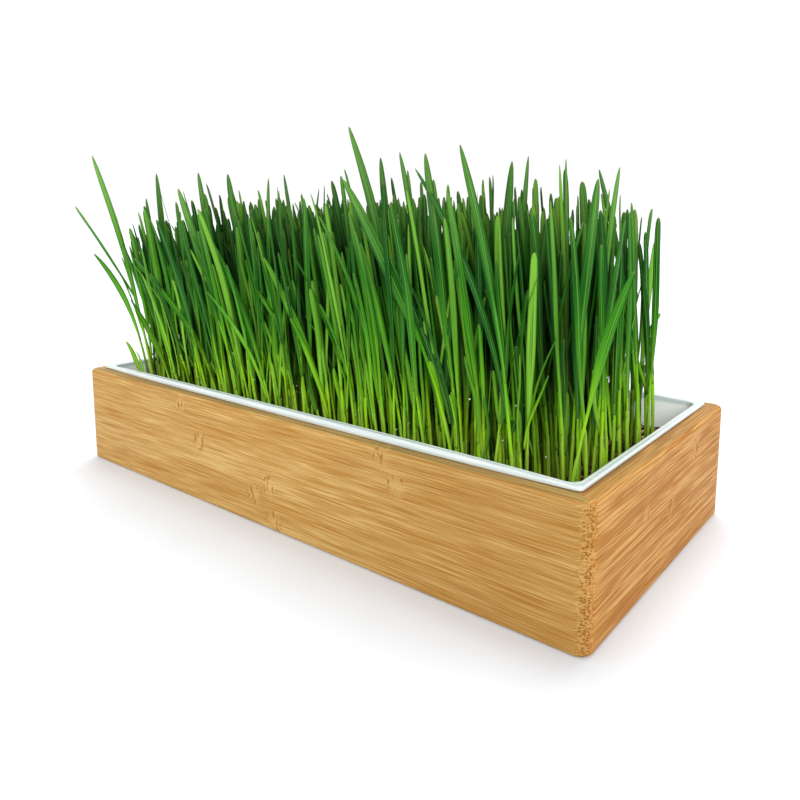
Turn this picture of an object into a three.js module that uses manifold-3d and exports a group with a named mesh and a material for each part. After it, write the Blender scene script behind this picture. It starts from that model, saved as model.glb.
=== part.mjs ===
// A tray of wheatgrass: a mitred bamboo box, a white liner tray hung in it by its rim, soil, and a
// dense bed of blades growing out of a knitted root mat.
// Millimetres, +Z up. The origin is the middle of the box's underside. X runs along the box, and its
// long front faces -Y.
import * as THREE from "three";
import { mergeVertices } from "three/addons/utils/BufferGeometryUtils.js";
import Module from "manifold-3d";

// Driving dimensions of the bamboo box
const BOX_LENGTH = 372;
const BOX_DEPTH = 179;
const BOX_HEIGHT = 63.5;
const BOARD_THICKNESS = 10;
const CORNER_RADIUS = 6.5;
const EDGE_EASE = 2;
const BASE_THICKNESS = 6;
const REBATE_WIDTH = 5;
const CLEARANCE = 0.3;

// Liner tray: insets are measured inward from the box's outer faces
const RIM_OUTER_INSET = 8;
const RIM_INNER_INSET = 12;
const RIM_TOP = 65.5;
const RIM_EASE = 0.6;
const RIM_CORNER_RADIUS = 2.5;
const LINER_WALL = 1.6;
const LINER_DRAFT = 2;
const LINER_CORNER_RADIUS = 6;
const LINER_FLOOR = 10;
const FLOOR_FILLET = 4;

// Soil and root mat
const SOIL_TOP = 46.5;
const SOIL_CROWN = 1;
const MAT_DEPTH = 12;
const MAT_MARGIN = 15;
const MAT_CORNER_RADIUS = 30;
const MAT_RELIEF = { low: -0.54, high: 1.26 };
const MAT_SHRINKS = [0.86, 0.66, 0.44, 0.2];

// Wheatgrass bed
const BED_HALF_LENGTH = 167;
const BED_HALF_DEPTH = 71;
const BED_POWER = 5;
const PITCH = 10.4;
const PARTING = 2.2;
const ROW_PITCH = 9;
const JITTER_SHARE = 0.7;
const STEM_WIDTH = 2.3;
const BLADE_KEEL = 1.3;
const ROOT_SINK = 5;
const BLADE_GAP = 0.5;
const TRIES = 30;
const TRY_SPREAD = { first: 0.1, growth: 0.008 };
const SEED = 71;

// Height of the bed's blades above the soil. The canopy tilts up towards +X and droops at both ends,
// and a few blades stand taller.
const CANOPY = { height: 124, tilt: 3, droop: 9, variation: 22, tallShare: 0.1, tallExtra: 14 };

// Lean of the bed's blades, as a share of their height: a base that falls towards +X, how much of it
// goes along X and Y, and what is added outward near the long sides
const LEAN = { base: 0.1, slope: -0.055, alongX: -0.78, alongY: -0.45, outward: 0.05, wanderY: 0.8 };

// Ranges of a blade's width, of the share of its lean that comes early, and of the angles from +X
// that its face starts at and then turns by
const BED_BLADE = { width: [3.2, 5], early: [0.25, 0.75], face: [-0.5, 1.9], twist: [-0.6, 0.6] };
const LEADING_FACE = { face: [0.6, 1.2], twist: [-0.25, 0.25] };

// Narrow stem, widening to the blade, then a long taper to the point. The leading blades, which
// lean and arch more, have one more level than the bed's.
const LEADING_LEVELS = [
  { t: 0, widen: 0 },
  { t: 0.34, widen: 0.2 },
  { t: 0.62, widen: 1 },
  { t: 0.86, widen: 0.6 },
  { t: 1, widen: 0 },
];
const BED_LEVELS = [
  { t: 0, widen: 0 },
  { t: 0.5, widen: 0.8 },
  { t: 0.84, widen: 0.6 },
  { t: 1, widen: 0 },
];

// Evenly spaced heights at which blades are compared, to tell whether two would touch
const TRACK_STEP = 6;
const TRACK_COUNT = 29;

// Wheat grains left on the mat, seen round its edge
const GRAIN_LENGTH = 6.4;
const GRAIN_WIDTH = 3.2;
const GRAIN_RISE = 0.3;
const GRAIN_COUNT = 64;
const GRAIN_GAP = 1;
const GRAIN_BAND = [0.84, 0.96];
const GRAIN_TRIES = 4000;

// Blades that stand out of the bed: root x and y, tip x, y and z, width, then how much of the lean
// comes early and how far the blade arches over. A fork leaves the blade at that share of its height.
const LEADING_BLADES = [
  { root: [-140, -66], tip: [-185, -78, 210], width: 5, early: 0.5,
    forks: [{ at: 0.4, tip: [-213, -78, 176], width: 2.6, early: 0.9 }] },
  { root: [-150, -63], tip: [-191, -78, 143], width: 4, early: 0.45, arch: 0.4 },
  { root: [-145, -69], tip: [-158, -76, 84], width: 3.4, early: 0.5 },
  { root: [-63, -69], tip: [-141, -77, 142], width: 4.4, early: 0.3, arch: 0.1 },
  { root: [-141, -49], tip: [-137, -60, 197], width: 4.4 },
  { root: [-138, -57], tip: [-149, -61, 181], width: 3.6 },
  { root: [-56, -67], tip: [-95, -72, 186], width: 6, early: 0.3 },
  { root: [-88, -46], tip: [-105, -50, 197], width: 4.6 },
  { root: [-42, -58], tip: [-59, -62, 194], width: 5 },
  { root: [-37, -63], tip: [-47, -66, 163], width: 5.2 },
  { root: [-14, -70], tip: [-59, -76, 156], width: 4.6, early: 0.3 },
  { root: [-21, -66], tip: [-18, -66, 190], width: 3 },
  { root: [30, -69], tip: [-12, -76, 147], width: 4.8, early: 0.3 },
  { root: [-62, 2], tip: [-79, 0, 197], width: 3.4, early: 0.3 },
  { root: [112, -70], tip: [48, -76, 187], width: 6, early: 0.42 },
  { root: [77, -60], tip: [39, -62, 214], width: 5.4, early: 0.3 },
  { root: [36, -18], tip: [24, -20, 202], width: 5 },
  { root: [78, -36], tip: [54, -40, 202], width: 4.4 },
  { root: [109, -63], tip: [90, -66, 198], width: 5.6, early: 0.6 },
  { root: [141, -68], tip: [113, -72, 200], width: 5.4, early: 0.45, arch: 0.12 },
  { root: [114, -42], tip: [123, -45, 194], width: 5.2 },
  { root: [104, -8], tip: [112, -10, 199], width: 3.8 },
  { root: [146, -28], tip: [142, -30, 195], width: 3.4 },
  { root: [164, 20], tip: [137, 18, 193], width: 4.6, early: 0.3 },
  { root: [152, -18], tip: [163, -20, 191], width: 3.8 },
  { root: [155, -43], tip: [164, -45, 185], width: 5.6 },
  { root: [162, -57], tip: [183, -50, 148], width: 5.4, early: 0.35 },
  { root: [160, -30], tip: [172, -34, 168], width: 4 },
  { root: [166, 10], tip: [159, 6, 176], width: 3.6 },
  { root: [166, 33], tip: [158, 30, 158], width: 3.6, early: 0.9,
    forks: [{ at: 0.55, tip: [166, 34, 120], width: 3, early: 0.6 }] },
];

const wasm = await Module();
wasm.setup();

// Seeded numbers from 0 to 1, so that the bed grows alike every time.
function seededRandom(seed) {
  let state = seed;
  return () => {
    state = (state + 0x6d2b79f5) | 0;
    let mixed = Math.imul(state ^ (state >>> 15), 1 | state);
    mixed = (mixed + Math.imul(mixed ^ (mixed >>> 7), 61 | mixed)) ^ mixed;
    return ((mixed ^ (mixed >>> 14)) >>> 0) / 2 ** 32;
  };
}

function between([low, high], random) {
  return low + (high - low) * random();
}

// Turns a closed three.js geometry into a solid that can be joined and cut.
function toSolid(geometry) {
  const bare = geometry.clone();
  bare.deleteAttribute("normal");
  bare.deleteAttribute("uv");
  const welded = mergeVertices(bare);
  return new wasm.Manifold(new wasm.Mesh({
    numProp: 3,
    vertProperties: Float32Array.from(welded.attributes.position.array),
    triVerts: Uint32Array.from(welded.index.array),
  }));
}

function toMesh(solid, name, material) {
  const { vertProperties, triVerts } = solid.getMesh();
  const geometry = new THREE.BufferGeometry();
  geometry.setAttribute("position", new THREE.BufferAttribute(vertProperties, 3));
  geometry.setIndex(new THREE.BufferAttribute(triVerts, 1));
  geometry.computeVertexNormals();
  const mesh = new THREE.Mesh(geometry, material);
  mesh.name = name;
  return mesh;
}

function block(lowX, highX, lowY, highY, lowZ, highZ) {
  const box = new THREE.BoxGeometry(highX - lowX, highY - lowY, highZ - lowZ);
  box.translate((lowX + highX) / 2, (lowY + highY) / 2, (lowZ + highZ) / 2);
  return toSolid(box);
}

// A rounded rectangle at one height, anticlockwise seen from above. The inset is measured inward
// from the box's outer faces. An odd number of steps in a corner leaves the mitre line on a facet.
function insetRing(inset, radius, z) {
  const cornerSteps = 5;
  const spanX = BOX_LENGTH / 2 - inset - radius;
  const spanY = BOX_DEPTH / 2 - inset - radius;
  const ring = [];
  for (const [signX, signY, start] of [[1, 1, 0], [-1, 1, 1], [-1, -1, 2], [1, -1, 3]]) {
    for (let step = 0; step <= cornerSteps; step += 1) {
      const angle = (start + step / cornerSteps) * Math.PI / 2;
      const x = signX * spanX + radius * Math.cos(angle);
      const y = signY * spanY + radius * Math.sin(angle);
      ring.push(new THREE.Vector3(x, y, z));
    }
  }
  return ring;
}

// A closed body through rings of equal length. The path of the rings climbs on the outside.
function loft(rings) {
  const count = rings[0].length;
  const last = (rings.length - 1) * count;
  const index = [];
  for (let corner = 1; corner < count - 1; corner += 1) {
    index.push(0, corner + 1, corner);
    index.push(last, last + corner, last + corner + 1);
  }
  for (let level = 0; level < rings.length - 1; level += 1) {
    for (let corner = 0; corner < count; corner += 1) {
      const here = level * count + corner;
      const next = level * count + (corner + 1) % count;
      index.push(here, next, next + count, here, next + count, here + count);
    }
  }
  const geometry = new THREE.BufferGeometry().setFromPoints(rings.flat());
  geometry.setIndex(index);
  return toSolid(geometry);
}

// The outside of the box: rounded upright corners, and edges eased by a quarter round.
function boxOutside() {
  const easeSteps = 3;
  const rings = [];
  for (const [end, direction] of [[0, 1], [BOX_HEIGHT, -1]]) {
    for (let step = 0; step <= easeSteps; step += 1) {
      const turn = (direction > 0 ? step : easeSteps - step) / easeSteps * Math.PI / 2;
      const inset = EDGE_EASE * (1 - Math.sin(turn));
      const z = end + direction * EDGE_EASE * (1 - Math.cos(turn));
      rings.push(insetRing(inset, CORNER_RADIUS - inset, z));
    }
  }
  return loft(rings);
}

// One side's share of the box, between its diagonals, drawn back so that the mitre joints have the
// clearance. The wedge stops short of the middle, where the box is empty.
function mitreWedge(side) {
  const reach = BOX_LENGTH;
  const middleShare = 0.9;
  const alongX = side === "front" || side === "back";
  const halfLong = alongX ? BOX_LENGTH / 2 : BOX_DEPTH / 2;
  const halfShort = alongX ? BOX_DEPTH / 2 : BOX_LENGTH / 2;
  const shift = CLEARANCE / Math.SQRT2;
  const inner = Math.min(halfShort, halfLong) * middleShare;
  const outer = reach - halfShort;
  const wedge = new THREE.Shape([
    new THREE.Vector2(-halfLong - outer, -reach - shift),
    new THREE.Vector2(halfLong + outer, -reach - shift),
    new THREE.Vector2(halfLong - inner, -halfShort + inner - shift),
    new THREE.Vector2(-halfLong + inner, -halfShort + inner - shift),
  ]);
  const prism = new THREE.ExtrudeGeometry(wedge, { depth: 2 * BOX_HEIGHT, bevelEnabled: false });
  const quarterTurns = { front: 0, right: 1, back: 2, left: 3 }[side];
  prism.rotateZ(quarterTurns * Math.PI / 2);
  prism.translate(0, 0, -BOX_HEIGHT / 2);
  return toSolid(prism);
}

// The four boards stand on the floor, and a rebate along their feet takes the base panel.
function boards() {
  const innerX = BOX_LENGTH / 2 - BOARD_THICKNESS;
  const innerY = BOX_DEPTH / 2 - BOARD_THICKNESS;
  const rebateX = innerX + REBATE_WIDTH;
  const rebateY = innerY + REBATE_WIDTH;
  const rebateTop = BASE_THICKNESS + CLEARANCE;
  const shell = boxOutside()
    .subtract(block(-innerX, innerX, -innerY, innerY, -1, BOX_HEIGHT + 1))
    .subtract(block(-rebateX, rebateX, -rebateY, rebateY, -1, rebateTop));
  const material = { color: 0xc8975a, roughness: 0.55, metalness: 0 };
  return ["front", "back", "left", "right"].map((side) => toMesh(
    shell.intersect(mitreWedge(side)),
    `${side}_board`,
    new THREE.MeshStandardMaterial(material),
  ));
}

function basePanel() {
  const inset = BOARD_THICKNESS - REBATE_WIDTH + CLEARANCE;
  const cornerRadius = 0.6;
  const panel = loft([0, BASE_THICKNESS].map((z) => insetRing(inset, cornerRadius, z)));
  const material = new THREE.MeshStandardMaterial({ color: 0xd2a566, roughness: 0.6, metalness: 0 });
  return toMesh(panel, "base_panel", material);
}

// How far in the liner's inner wall stands at a height: the draft narrows it towards the floor.
function linerInset(z) {
  const drop = (RIM_TOP - z) / (RIM_TOP - LINER_FLOOR);
  return RIM_INNER_INSET + LINER_DRAFT * drop;
}

// Rings up the inside of the liner from its floor, moved in and up by a margin for what lies in it.
function linerInside(margin, top) {
  const rings = [];
  const filletSteps = 3;
  for (let step = 0; step <= filletSteps; step += 1) {
    const turn = step / filletSteps * Math.PI / 2;
    const rise = FLOOR_FILLET * (1 - Math.cos(turn));
    const inset = linerInset(LINER_FLOOR + rise) + FLOOR_FILLET * (1 - Math.sin(turn)) + margin;
    rings.push(insetRing(inset, LINER_CORNER_RADIUS, LINER_FLOOR + rise + margin));
  }
  rings.push(insetRing(linerInset(top) + margin, LINER_CORNER_RADIUS, top));
  return rings;
}

function linerTray() {
  const rimUnderside = BOX_HEIGHT + CLEARANCE;
  const wallTop = RIM_TOP - RIM_EASE;
  const outsideWall = linerInside(-LINER_WALL, rimUnderside);
  const rim = [
    insetRing(RIM_OUTER_INSET, RIM_CORNER_RADIUS, rimUnderside),
    insetRing(RIM_OUTER_INSET, RIM_CORNER_RADIUS, wallTop),
    insetRing(RIM_OUTER_INSET + RIM_EASE, RIM_CORNER_RADIUS, RIM_TOP),
    insetRing(RIM_INNER_INSET - RIM_EASE, LINER_CORNER_RADIUS, RIM_TOP),
  ];
  const insideWall = linerInside(0, wallTop).reverse();
  const tray = loft([...outsideWall, ...rim, ...insideWall]);
  const material = new THREE.MeshStandardMaterial({ color: 0xf3f7f7, roughness: 0.25, metalness: 0 });
  return toMesh(tray, "liner_tray", material);
}

// The outline of the root mat, which lies in a shallow pocket of the soil.
function matRing(margin, shrink, z) {
  return insetRing(MAT_MARGIN + margin, MAT_CORNER_RADIUS, z)
    .map((point) => new THREE.Vector3(point.x * shrink, point.y * shrink, point.z));
}

function soil() {
  const shoulder = 1;
  const rings = linerInside(CLEARANCE, SOIL_TOP - SOIL_CROWN);
  rings.push(insetRing(MAT_MARGIN - shoulder, LINER_CORNER_RADIUS, SOIL_TOP));
  const pocket = loft([SOIL_TOP - MAT_DEPTH, SOIL_TOP + SOIL_CROWN].map((z) => matRing(0, 1, z)));
  const material = new THREE.MeshStandardMaterial({ color: 0x3a2618, roughness: 0.95, metalness: 0 });
  return toMesh(loft(rings).subtract(pocket), "soil", material);
}

function rootMat(random) {
  const rings = [
    matRing(CLEARANCE, 1, SOIL_TOP - MAT_DEPTH + CLEARANCE),
    matRing(CLEARANCE, 1, SOIL_TOP),
  ];
  for (const shrink of MAT_SHRINKS) {
    const ring = matRing(CLEARANCE, shrink, SOIL_TOP);
    ring.forEach((point) => {
      point.z += between([MAT_RELIEF.low, MAT_RELIEF.high], random);
    });
    rings.push(ring);
  }
  return loft(rings);
}

// A blade's middle line at a share t of its height. The lean comes partly early and partly late.
function bladePoint(blade, t) {
  const { start, tip, early = 0.5, arch = 0 } = blade;
  const lean = early * t + (1 - early) * t * t;
  const rise = t + arch * t * (1 - t);
  return new THREE.Vector3(
    start.x + (tip[0] - start.x) * lean,
    start.y + (tip[1] - start.y) * lean,
    start.z + (tip[2] - start.z) * rise,
  );
}

function levelWidth(blade, level) {
  return STEM_WIDTH + (blade.width - STEM_WIDTH) * level.widen;
}

// A blade as a closed three-sided body: two edges and a keel along its back, which is thicker where
// the blade is narrow. Its middle line runs through the middle of each section.
function bladeBody(blade) {
  const stemKeel = BLADE_KEEL + (STEM_WIDTH - BLADE_KEEL) * 0.8;
  const points = [];
  blade.levels.slice(0, -1).forEach((level, order) => {
    const middle = bladePoint(blade, level.t);
    if (order === 0) {
      middle.z -= blade.plant ? 0 : ROOT_SINK;
    }
    const face = blade.face + blade.twist * level.t;
    const side = new THREE.Vector3(Math.cos(face), Math.sin(face), 0);
    const back = new THREE.Vector3(-Math.sin(face), Math.cos(face), 0);
    const half = levelWidth(blade, level) / 2;
    const keel = BLADE_KEEL + (stemKeel - BLADE_KEEL) * (1 - level.widen);
    points.push(
      middle.clone().addScaledVector(side, -half).addScaledVector(back, -keel / 3),
      middle.clone().addScaledVector(side, half).addScaledVector(back, -keel / 3),
      middle.clone().addScaledVector(back, keel * 2 / 3),
    );
  });
  const apex = points.length;
  points.push(bladePoint(blade, 1));
  const index = [0, 2, 1];
  for (let level = 0; level < blade.levels.length - 2; level += 1) {
    for (let corner = 0; corner < 3; corner += 1) {
      const here = level * 3 + corner;
      const next = level * 3 + (corner + 1) % 3;
      index.push(here, next, next + 3, here, next + 3, here + 3);
    }
  }
  for (let corner = 0; corner < 3; corner += 1) {
    index.push(apex - 3 + corner, apex - 3 + (corner + 1) % 3, apex);
  }
  return { points, index };
}

// Where a blade is at evenly spaced heights, and how wide.
function trackOf(blade) {
  const knots = blade.levels.map((level) => ({
    point: bladePoint(blade, level.t),
    half: level.t < 1 ? levelWidth(blade, level) / 2 : 0,
  }));
  const track = [];
  for (let step = 0; step < TRACK_COUNT; step += 1) {
    const z = SOIL_TOP + step * TRACK_STEP;
    const upper = knots.findIndex((knot) => knot.point.z >= z);
    if (upper < 0) {
      break;
    }
    const above = knots[upper];
    const below = knots[Math.max(upper - 1, 0)];
    const span = above.point.z - below.point.z;
    const share = span > 0 ? (z - below.point.z) / span : 0;
    track.push({
      x: below.point.x + (above.point.x - below.point.x) * share,
      y: below.point.y + (above.point.y - below.point.y) * share,
      half: below.half + (above.half - below.half) * share,
    });
  }
  return track;
}

// The least distance between two blades at any height, less what their widths take up.
function clearanceBetween(first, second) {
  const shared = Math.min(first.length, second.length);
  let least = Infinity;
  for (let step = 0; step < shared; step += 1) {
    const a = { x: first[step].x - second[step].x, y: first[step].y - second[step].y };
    const room = first[step].half + second[step].half;
    let distance = Math.hypot(a.x, a.y);
    if (step + 1 < shared) {
      const bx = first[step + 1].x - second[step + 1].x - a.x;
      const by = first[step + 1].y - second[step + 1].y - a.y;
      const length = bx * bx + by * by;
      const share = length > 0 ? Math.min(1, Math.max(0, -(a.x * bx + a.y * by) / length)) : 0;
      distance = Math.hypot(a.x + bx * share, a.y + by * share);
    }
    least = Math.min(least, distance - room);
  }
  return least;
}

// Low in the tray a blade keeps off the liner's walls.
function clearsLiner(track) {
  return track.every((place, step) => {
    const z = SOIL_TOP + step * TRACK_STEP;
    const inset = linerInset(Math.min(z, RIM_TOP)) + place.half + BLADE_GAP;
    const inside = Math.abs(place.x) < BOX_LENGTH / 2 - inset
      && Math.abs(place.y) < BOX_DEPTH / 2 - inset;
    return inside || z > RIM_TOP + TRACK_STEP;
  });
}

// One try at a blade of the bed.
function tryBlade(x, y, spread, random) {
  const along = x / BED_HALF_LENGTH;
  const across = y / BED_HALF_DEPTH;
  const wander = () => (random() + random() + random() - 1.5) * spread;
  const lean = LEAN.base + LEAN.slope * along;
  const extra = random() < CANOPY.tallShare ? CANOPY.tallExtra : 0;
  const canopy = CANOPY.height + CANOPY.tilt * along - CANOPY.droop * along ** 4;
  const height = canopy + extra + CANOPY.variation * (random() - 0.5);
  const leanX = LEAN.alongX * lean + wander();
  const leanY = LEAN.alongY * lean + LEAN.outward * across + LEAN.wanderY * wander();
  return {
    start: new THREE.Vector3(x, y, SOIL_TOP),
    tip: [x + leanX * height, y + leanY * height, SOIL_TOP + height],
    width: between(BED_BLADE.width, random),
    early: between(BED_BLADE.early, random),
    face: between(BED_BLADE.face, random),
    twist: between(BED_BLADE.twist, random),
    levels: BED_LEVELS,
  };
}

// Leading blades first, then the bed around them, each blade bent clear of those already there.
function growBed(random) {
  const blades = [];
  const tracks = [];
  const forks = [];
  const plant = (blade, track) => {
    blades.push(blade);
    tracks.push(track);
  };
  for (const lead of LEADING_BLADES) {
    const start = new THREE.Vector3(lead.root[0], lead.root[1], SOIL_TOP);
    const face = between(LEADING_FACE.face, random);
    const facing = { face, twist: between(LEADING_FACE.twist, random) };
    const blade = { ...lead, ...facing, start, levels: LEADING_LEVELS };
    plant(blade, trackOf(blade));
    for (const fork of lead.forks ?? []) {
      const foot = bladePoint(blade, fork.at);
      forks.push({ ...fork, ...facing, start: foot, plant: start, levels: BED_LEVELS });
    }
  }
  const rows = Math.ceil(BED_HALF_DEPTH / ROW_PITCH);
  const columns = Math.ceil(BED_HALF_LENGTH / PITCH);
  for (let row = -rows; row <= rows; row += 1) {
    for (let column = -columns; column <= columns; column += 1) {
      const jitterX = (random() - 0.5) * JITTER_SHARE;
      const jitterY = (random() - 0.5) * JITTER_SHARE;
      const free = (column + jitterX + (row % 2) / 2) * PITCH;
      const x = Math.abs(free) < PARTING ? Math.sign(free) * PARTING : free;
      const y = (row + jitterY) * ROW_PITCH;
      const edge = Math.abs(x / BED_HALF_LENGTH) ** BED_POWER + Math.abs(y / BED_HALF_DEPTH) ** BED_POWER;
      for (let attempt = 0; attempt < TRIES && edge < 1; attempt += 1) {
        const spread = TRY_SPREAD.first + TRY_SPREAD.growth * attempt;
        const blade = tryBlade(x, y, spread, random);
        const track = trackOf(blade);
        const clear = clearsLiner(track)
          && Math.abs(blade.tip[1]) < BOX_DEPTH / 2
          && blade.tip[0] < BED_HALF_LENGTH + STEM_WIDTH
          && tracks.every((other) => clearanceBetween(track, other) > BLADE_GAP);
        if (clear) {
          plant(blade, track);
          break;
        }
      }
    }
  }
  return { blades, forks };
}

// A grain lying half in the mat, pointed at both ends.
function grainBody({ x, y, turn }) {
  const along = new THREE.Vector3(Math.cos(turn), Math.sin(turn), 0).multiplyScalar(GRAIN_LENGTH / 2);
  const across = new THREE.Vector3(-Math.sin(turn), Math.cos(turn), 0).multiplyScalar(GRAIN_WIDTH / 2);
  const upward = new THREE.Vector3(0, 0, GRAIN_WIDTH / 2);
  const middle = new THREE.Vector3(x, y, SOIL_TOP + GRAIN_RISE);
  const points = [
    middle.clone().sub(along), middle.clone().add(along),
    middle.clone().add(across), middle.clone().add(upward),
    middle.clone().sub(across), middle.clone().sub(upward),
  ];
  const index = [];
  for (let corner = 0; corner < 4; corner += 1) {
    const here = 2 + corner;
    const next = 2 + (corner + 1) % 4;
    index.push(0, next, here, 1, here, next);
  }
  return { points, index };
}

// Grains lie round the edge of the mat, clear of one another, of the stems and of the parting.
function scatterGrains(blades, random) {
  const taken = blades.map((blade) => ({ x: blade.start.x, y: blade.start.y, half: STEM_WIDTH / 2 }));
  const grains = [];
  const power = 2 / BED_POWER;
  for (let attempt = 0; attempt < GRAIN_TRIES && grains.length < GRAIN_COUNT; attempt += 1) {
    const angle = 2 * Math.PI * random();
    const reach = between(GRAIN_BAND, random);
    const x = reach * BED_HALF_LENGTH * Math.sign(Math.cos(angle)) * Math.abs(Math.cos(angle)) ** power;
    const y = reach * BED_HALF_DEPTH * Math.sign(Math.sin(angle)) * Math.abs(Math.sin(angle)) ** power;
    const grain = { x, y, turn: Math.PI * random(), half: GRAIN_LENGTH / 2 };
    const clear = taken.every((other) => {
      const room = other.half + grain.half + GRAIN_GAP;
      return Math.hypot(other.x - x, other.y - y) > room;
    });
    if (clear && Math.abs(x) > GRAIN_LENGTH) {
      grains.push(grain);
      taken.push(grain);
    }
  }
  return grains;
}

// Many separate small bodies as one solid.
function bodiesToSolid(bodies) {
  const positions = [];
  const index = [];
  for (const body of bodies) {
    const offset = positions.length;
    positions.push(...body.points);
    index.push(...body.index.map((corner) => corner + offset));
  }
  const geometry = new THREE.BufferGeometry().setFromPoints(positions);
  geometry.setIndex(index);
  return toSolid(geometry);
}

// The bed is one mat, parted in the middle into two so that each half can be lifted out.
function wheatgrass() {
  const random = seededRandom(SEED);
  const mat = rootMat(random);
  const { blades, forks } = growBed(random);
  const grains = scatterGrains(blades, random);
  const far = BOX_LENGTH;
  const halves = [
    { name: "wheatgrass_left", low: -far, high: -CLEARANCE / 2, belongs: (x) => x < 0 },
    { name: "wheatgrass_right", low: CLEARANCE / 2, high: far, belongs: (x) => x >= 0 },
  ];
  return halves.map(({ name, low, high, belongs }) => {
    const rooted = blades.filter((blade) => belongs(blade.start.x)).map(bladeBody);
    const lying = grains.filter((grain) => belongs(grain.x)).map(grainBody);
    let solid = mat.intersect(block(low, high, -far, far, 0, far))
      .add(bodiesToSolid([...rooted, ...lying]));
    for (const fork of forks.filter((branch) => belongs(branch.plant.x))) {
      solid = solid.add(bodiesToSolid([bladeBody(fork)]));
    }
    const material = new THREE.MeshStandardMaterial({ color: 0x4f9a35, roughness: 0.6, metalness: 0 });
    return toMesh(solid, name, material);
  });
}

const group = new THREE.Group();
group.add(...boards(), basePanel(), linerTray(), soil(), ...wheatgrass());

export default group;
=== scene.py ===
import math
import random

import bmesh
import bpy
import numpy as np
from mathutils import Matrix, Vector, noise


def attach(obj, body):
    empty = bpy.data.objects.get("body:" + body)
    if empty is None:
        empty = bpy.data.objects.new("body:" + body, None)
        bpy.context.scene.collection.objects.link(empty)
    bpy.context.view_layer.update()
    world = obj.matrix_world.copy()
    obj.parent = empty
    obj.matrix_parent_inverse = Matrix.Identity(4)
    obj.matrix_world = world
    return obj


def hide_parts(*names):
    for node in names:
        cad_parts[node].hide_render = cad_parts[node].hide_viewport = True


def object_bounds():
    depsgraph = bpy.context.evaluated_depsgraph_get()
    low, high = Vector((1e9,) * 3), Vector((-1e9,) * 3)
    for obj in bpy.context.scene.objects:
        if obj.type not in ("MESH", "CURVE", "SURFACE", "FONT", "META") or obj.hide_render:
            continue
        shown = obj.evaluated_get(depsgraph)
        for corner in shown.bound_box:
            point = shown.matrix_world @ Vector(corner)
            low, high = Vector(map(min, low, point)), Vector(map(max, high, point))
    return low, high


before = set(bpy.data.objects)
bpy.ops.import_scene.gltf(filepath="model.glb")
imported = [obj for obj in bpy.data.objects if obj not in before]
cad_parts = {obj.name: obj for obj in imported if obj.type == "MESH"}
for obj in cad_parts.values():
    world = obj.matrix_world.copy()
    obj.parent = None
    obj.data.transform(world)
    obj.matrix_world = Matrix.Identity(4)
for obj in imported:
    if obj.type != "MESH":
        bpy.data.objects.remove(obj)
cad_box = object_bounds()

# Wheatgrass tray: a mitred bamboo box, a white liner hung in it, soil and a dense bed of wheatgrass.
# Lengths are in millimetres and become metres where a mesh is made. +Z is up and the front faces -Y.
MM = 0.001
SKIN = 0.02
LIMITS = (np.array(cad_box[0]) / MM + SKIN, np.array(cad_box[1]) / MM - SKIN)

# Bamboo box
BOX_LENGTH = 372
BOX_DEPTH = 179
BOX_HEIGHT = 63.5
BOARD_THICKNESS = 10
CORNER_RADIUS = 6.5
EDGE_EASE = 2
INNER_EASE = 0.5
EASE_STEPS = 6
BOARD_CORNER_STEPS = 8
BOARD_STEPS = 24
BOARD_CREASE = 35
BASE_THICKNESS = 6
REBATE_WIDTH = 5
CLEARANCE = 0.3
MITRE_GAP = 0.03
STRIP_HEIGHT = 10.6

# Liner: insets are measured inward from the box's outer faces
RIM_OUTER_INSET = 8
RIM_INNER_INSET = 12
RIM_TOP = 65.5
RIM_OUTER_RADIUS = 2.5
LINER_WALL = 1.6
LINER_DRAFT = 2
LINER_CORNER_RADIUS = 6
LINER_FLOOR = 10
FLOOR_FILLET = 4
LINER_CORNER_STEPS = 12
LINER_SIDE_STEPS = 16
LINER_CREASE = 50
RIM_TUCK = 1
RIM_BLEND = 2

# Soil and root mat
SOIL_TOP = 46.5
SOIL_RELIEF = 1.1
SOIL_EDGE = 3
SOIL_GRID = 1.6

# Layers of the soil's relief: share, seed, scale, and how fractal noise builds each one up
SOIL_LAYERS = [(0.6, 0, 0.03, (1.0, 2.0, 2)), (1, 9, 0.2, (0.7, 2.1, 4))]

# Wheatgrass bed
BED_HALF_LENGTH = 167
BED_HALF_DEPTH = 71
BED_POWER = 5
PITCH = 10.4
PARTING = 2.2
ROW_PITCH = 9
JITTER_SHARE = 0.7
STEM_WIDTH = 2.3
BLADE_GAP = 0.5
TRIES = 30
TRY_SPREAD = 0.1
TRY_GROWTH = 0.008
MAT_POINTS = 96
SEED = 71

# Height of the bed's blades above the soil. The canopy tilts up towards +X and droops at both ends,
# and a few blades stand taller.
CANOPY = dict(height=124, tilt=3, droop=9, variation=22, tall_share=0.1, tall_extra=14)

# Lean of the bed's blades, as a share of their height: a base that falls towards +X, how much of it
# goes along X and Y, and what is added outward near the long sides
LEAN = dict(base=0.1, slope=-0.055, along_x=-0.78, along_y=-0.45, outward=0.05, wander_y=0.8)

# Ranges of a blade's width, of the share of its lean that comes early, and of the angles from +X
# that its face starts at and then turns by
BED_BLADE = dict(width=(3.2, 5), early=(0.25, 0.75), face=(-0.5, 1.9), twist=(-0.6, 0.6))
LEADING_FACE = dict(face=(0.6, 1.2), twist=(-0.25, 0.25))
LEADING_BEND = dict(early=0.5, arch=0)

# How far a blade has widened at some shares of its height
LEADING_LEVELS = [(0, 0), (0.34, 0.2), (0.62, 1), (0.86, 0.6), (1, 0)]
BED_LEVELS = [(0, 0), (0.5, 0.8), (0.84, 0.6), (1, 0)]

# Evenly spaced heights at which blades are compared, to tell whether two would touch
TRACK_STEP = 6
TRACK_COUNT = 29
TRACK_HEIGHTS = SOIL_TOP + TRACK_STEP * np.arange(TRACK_COUNT)

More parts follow.
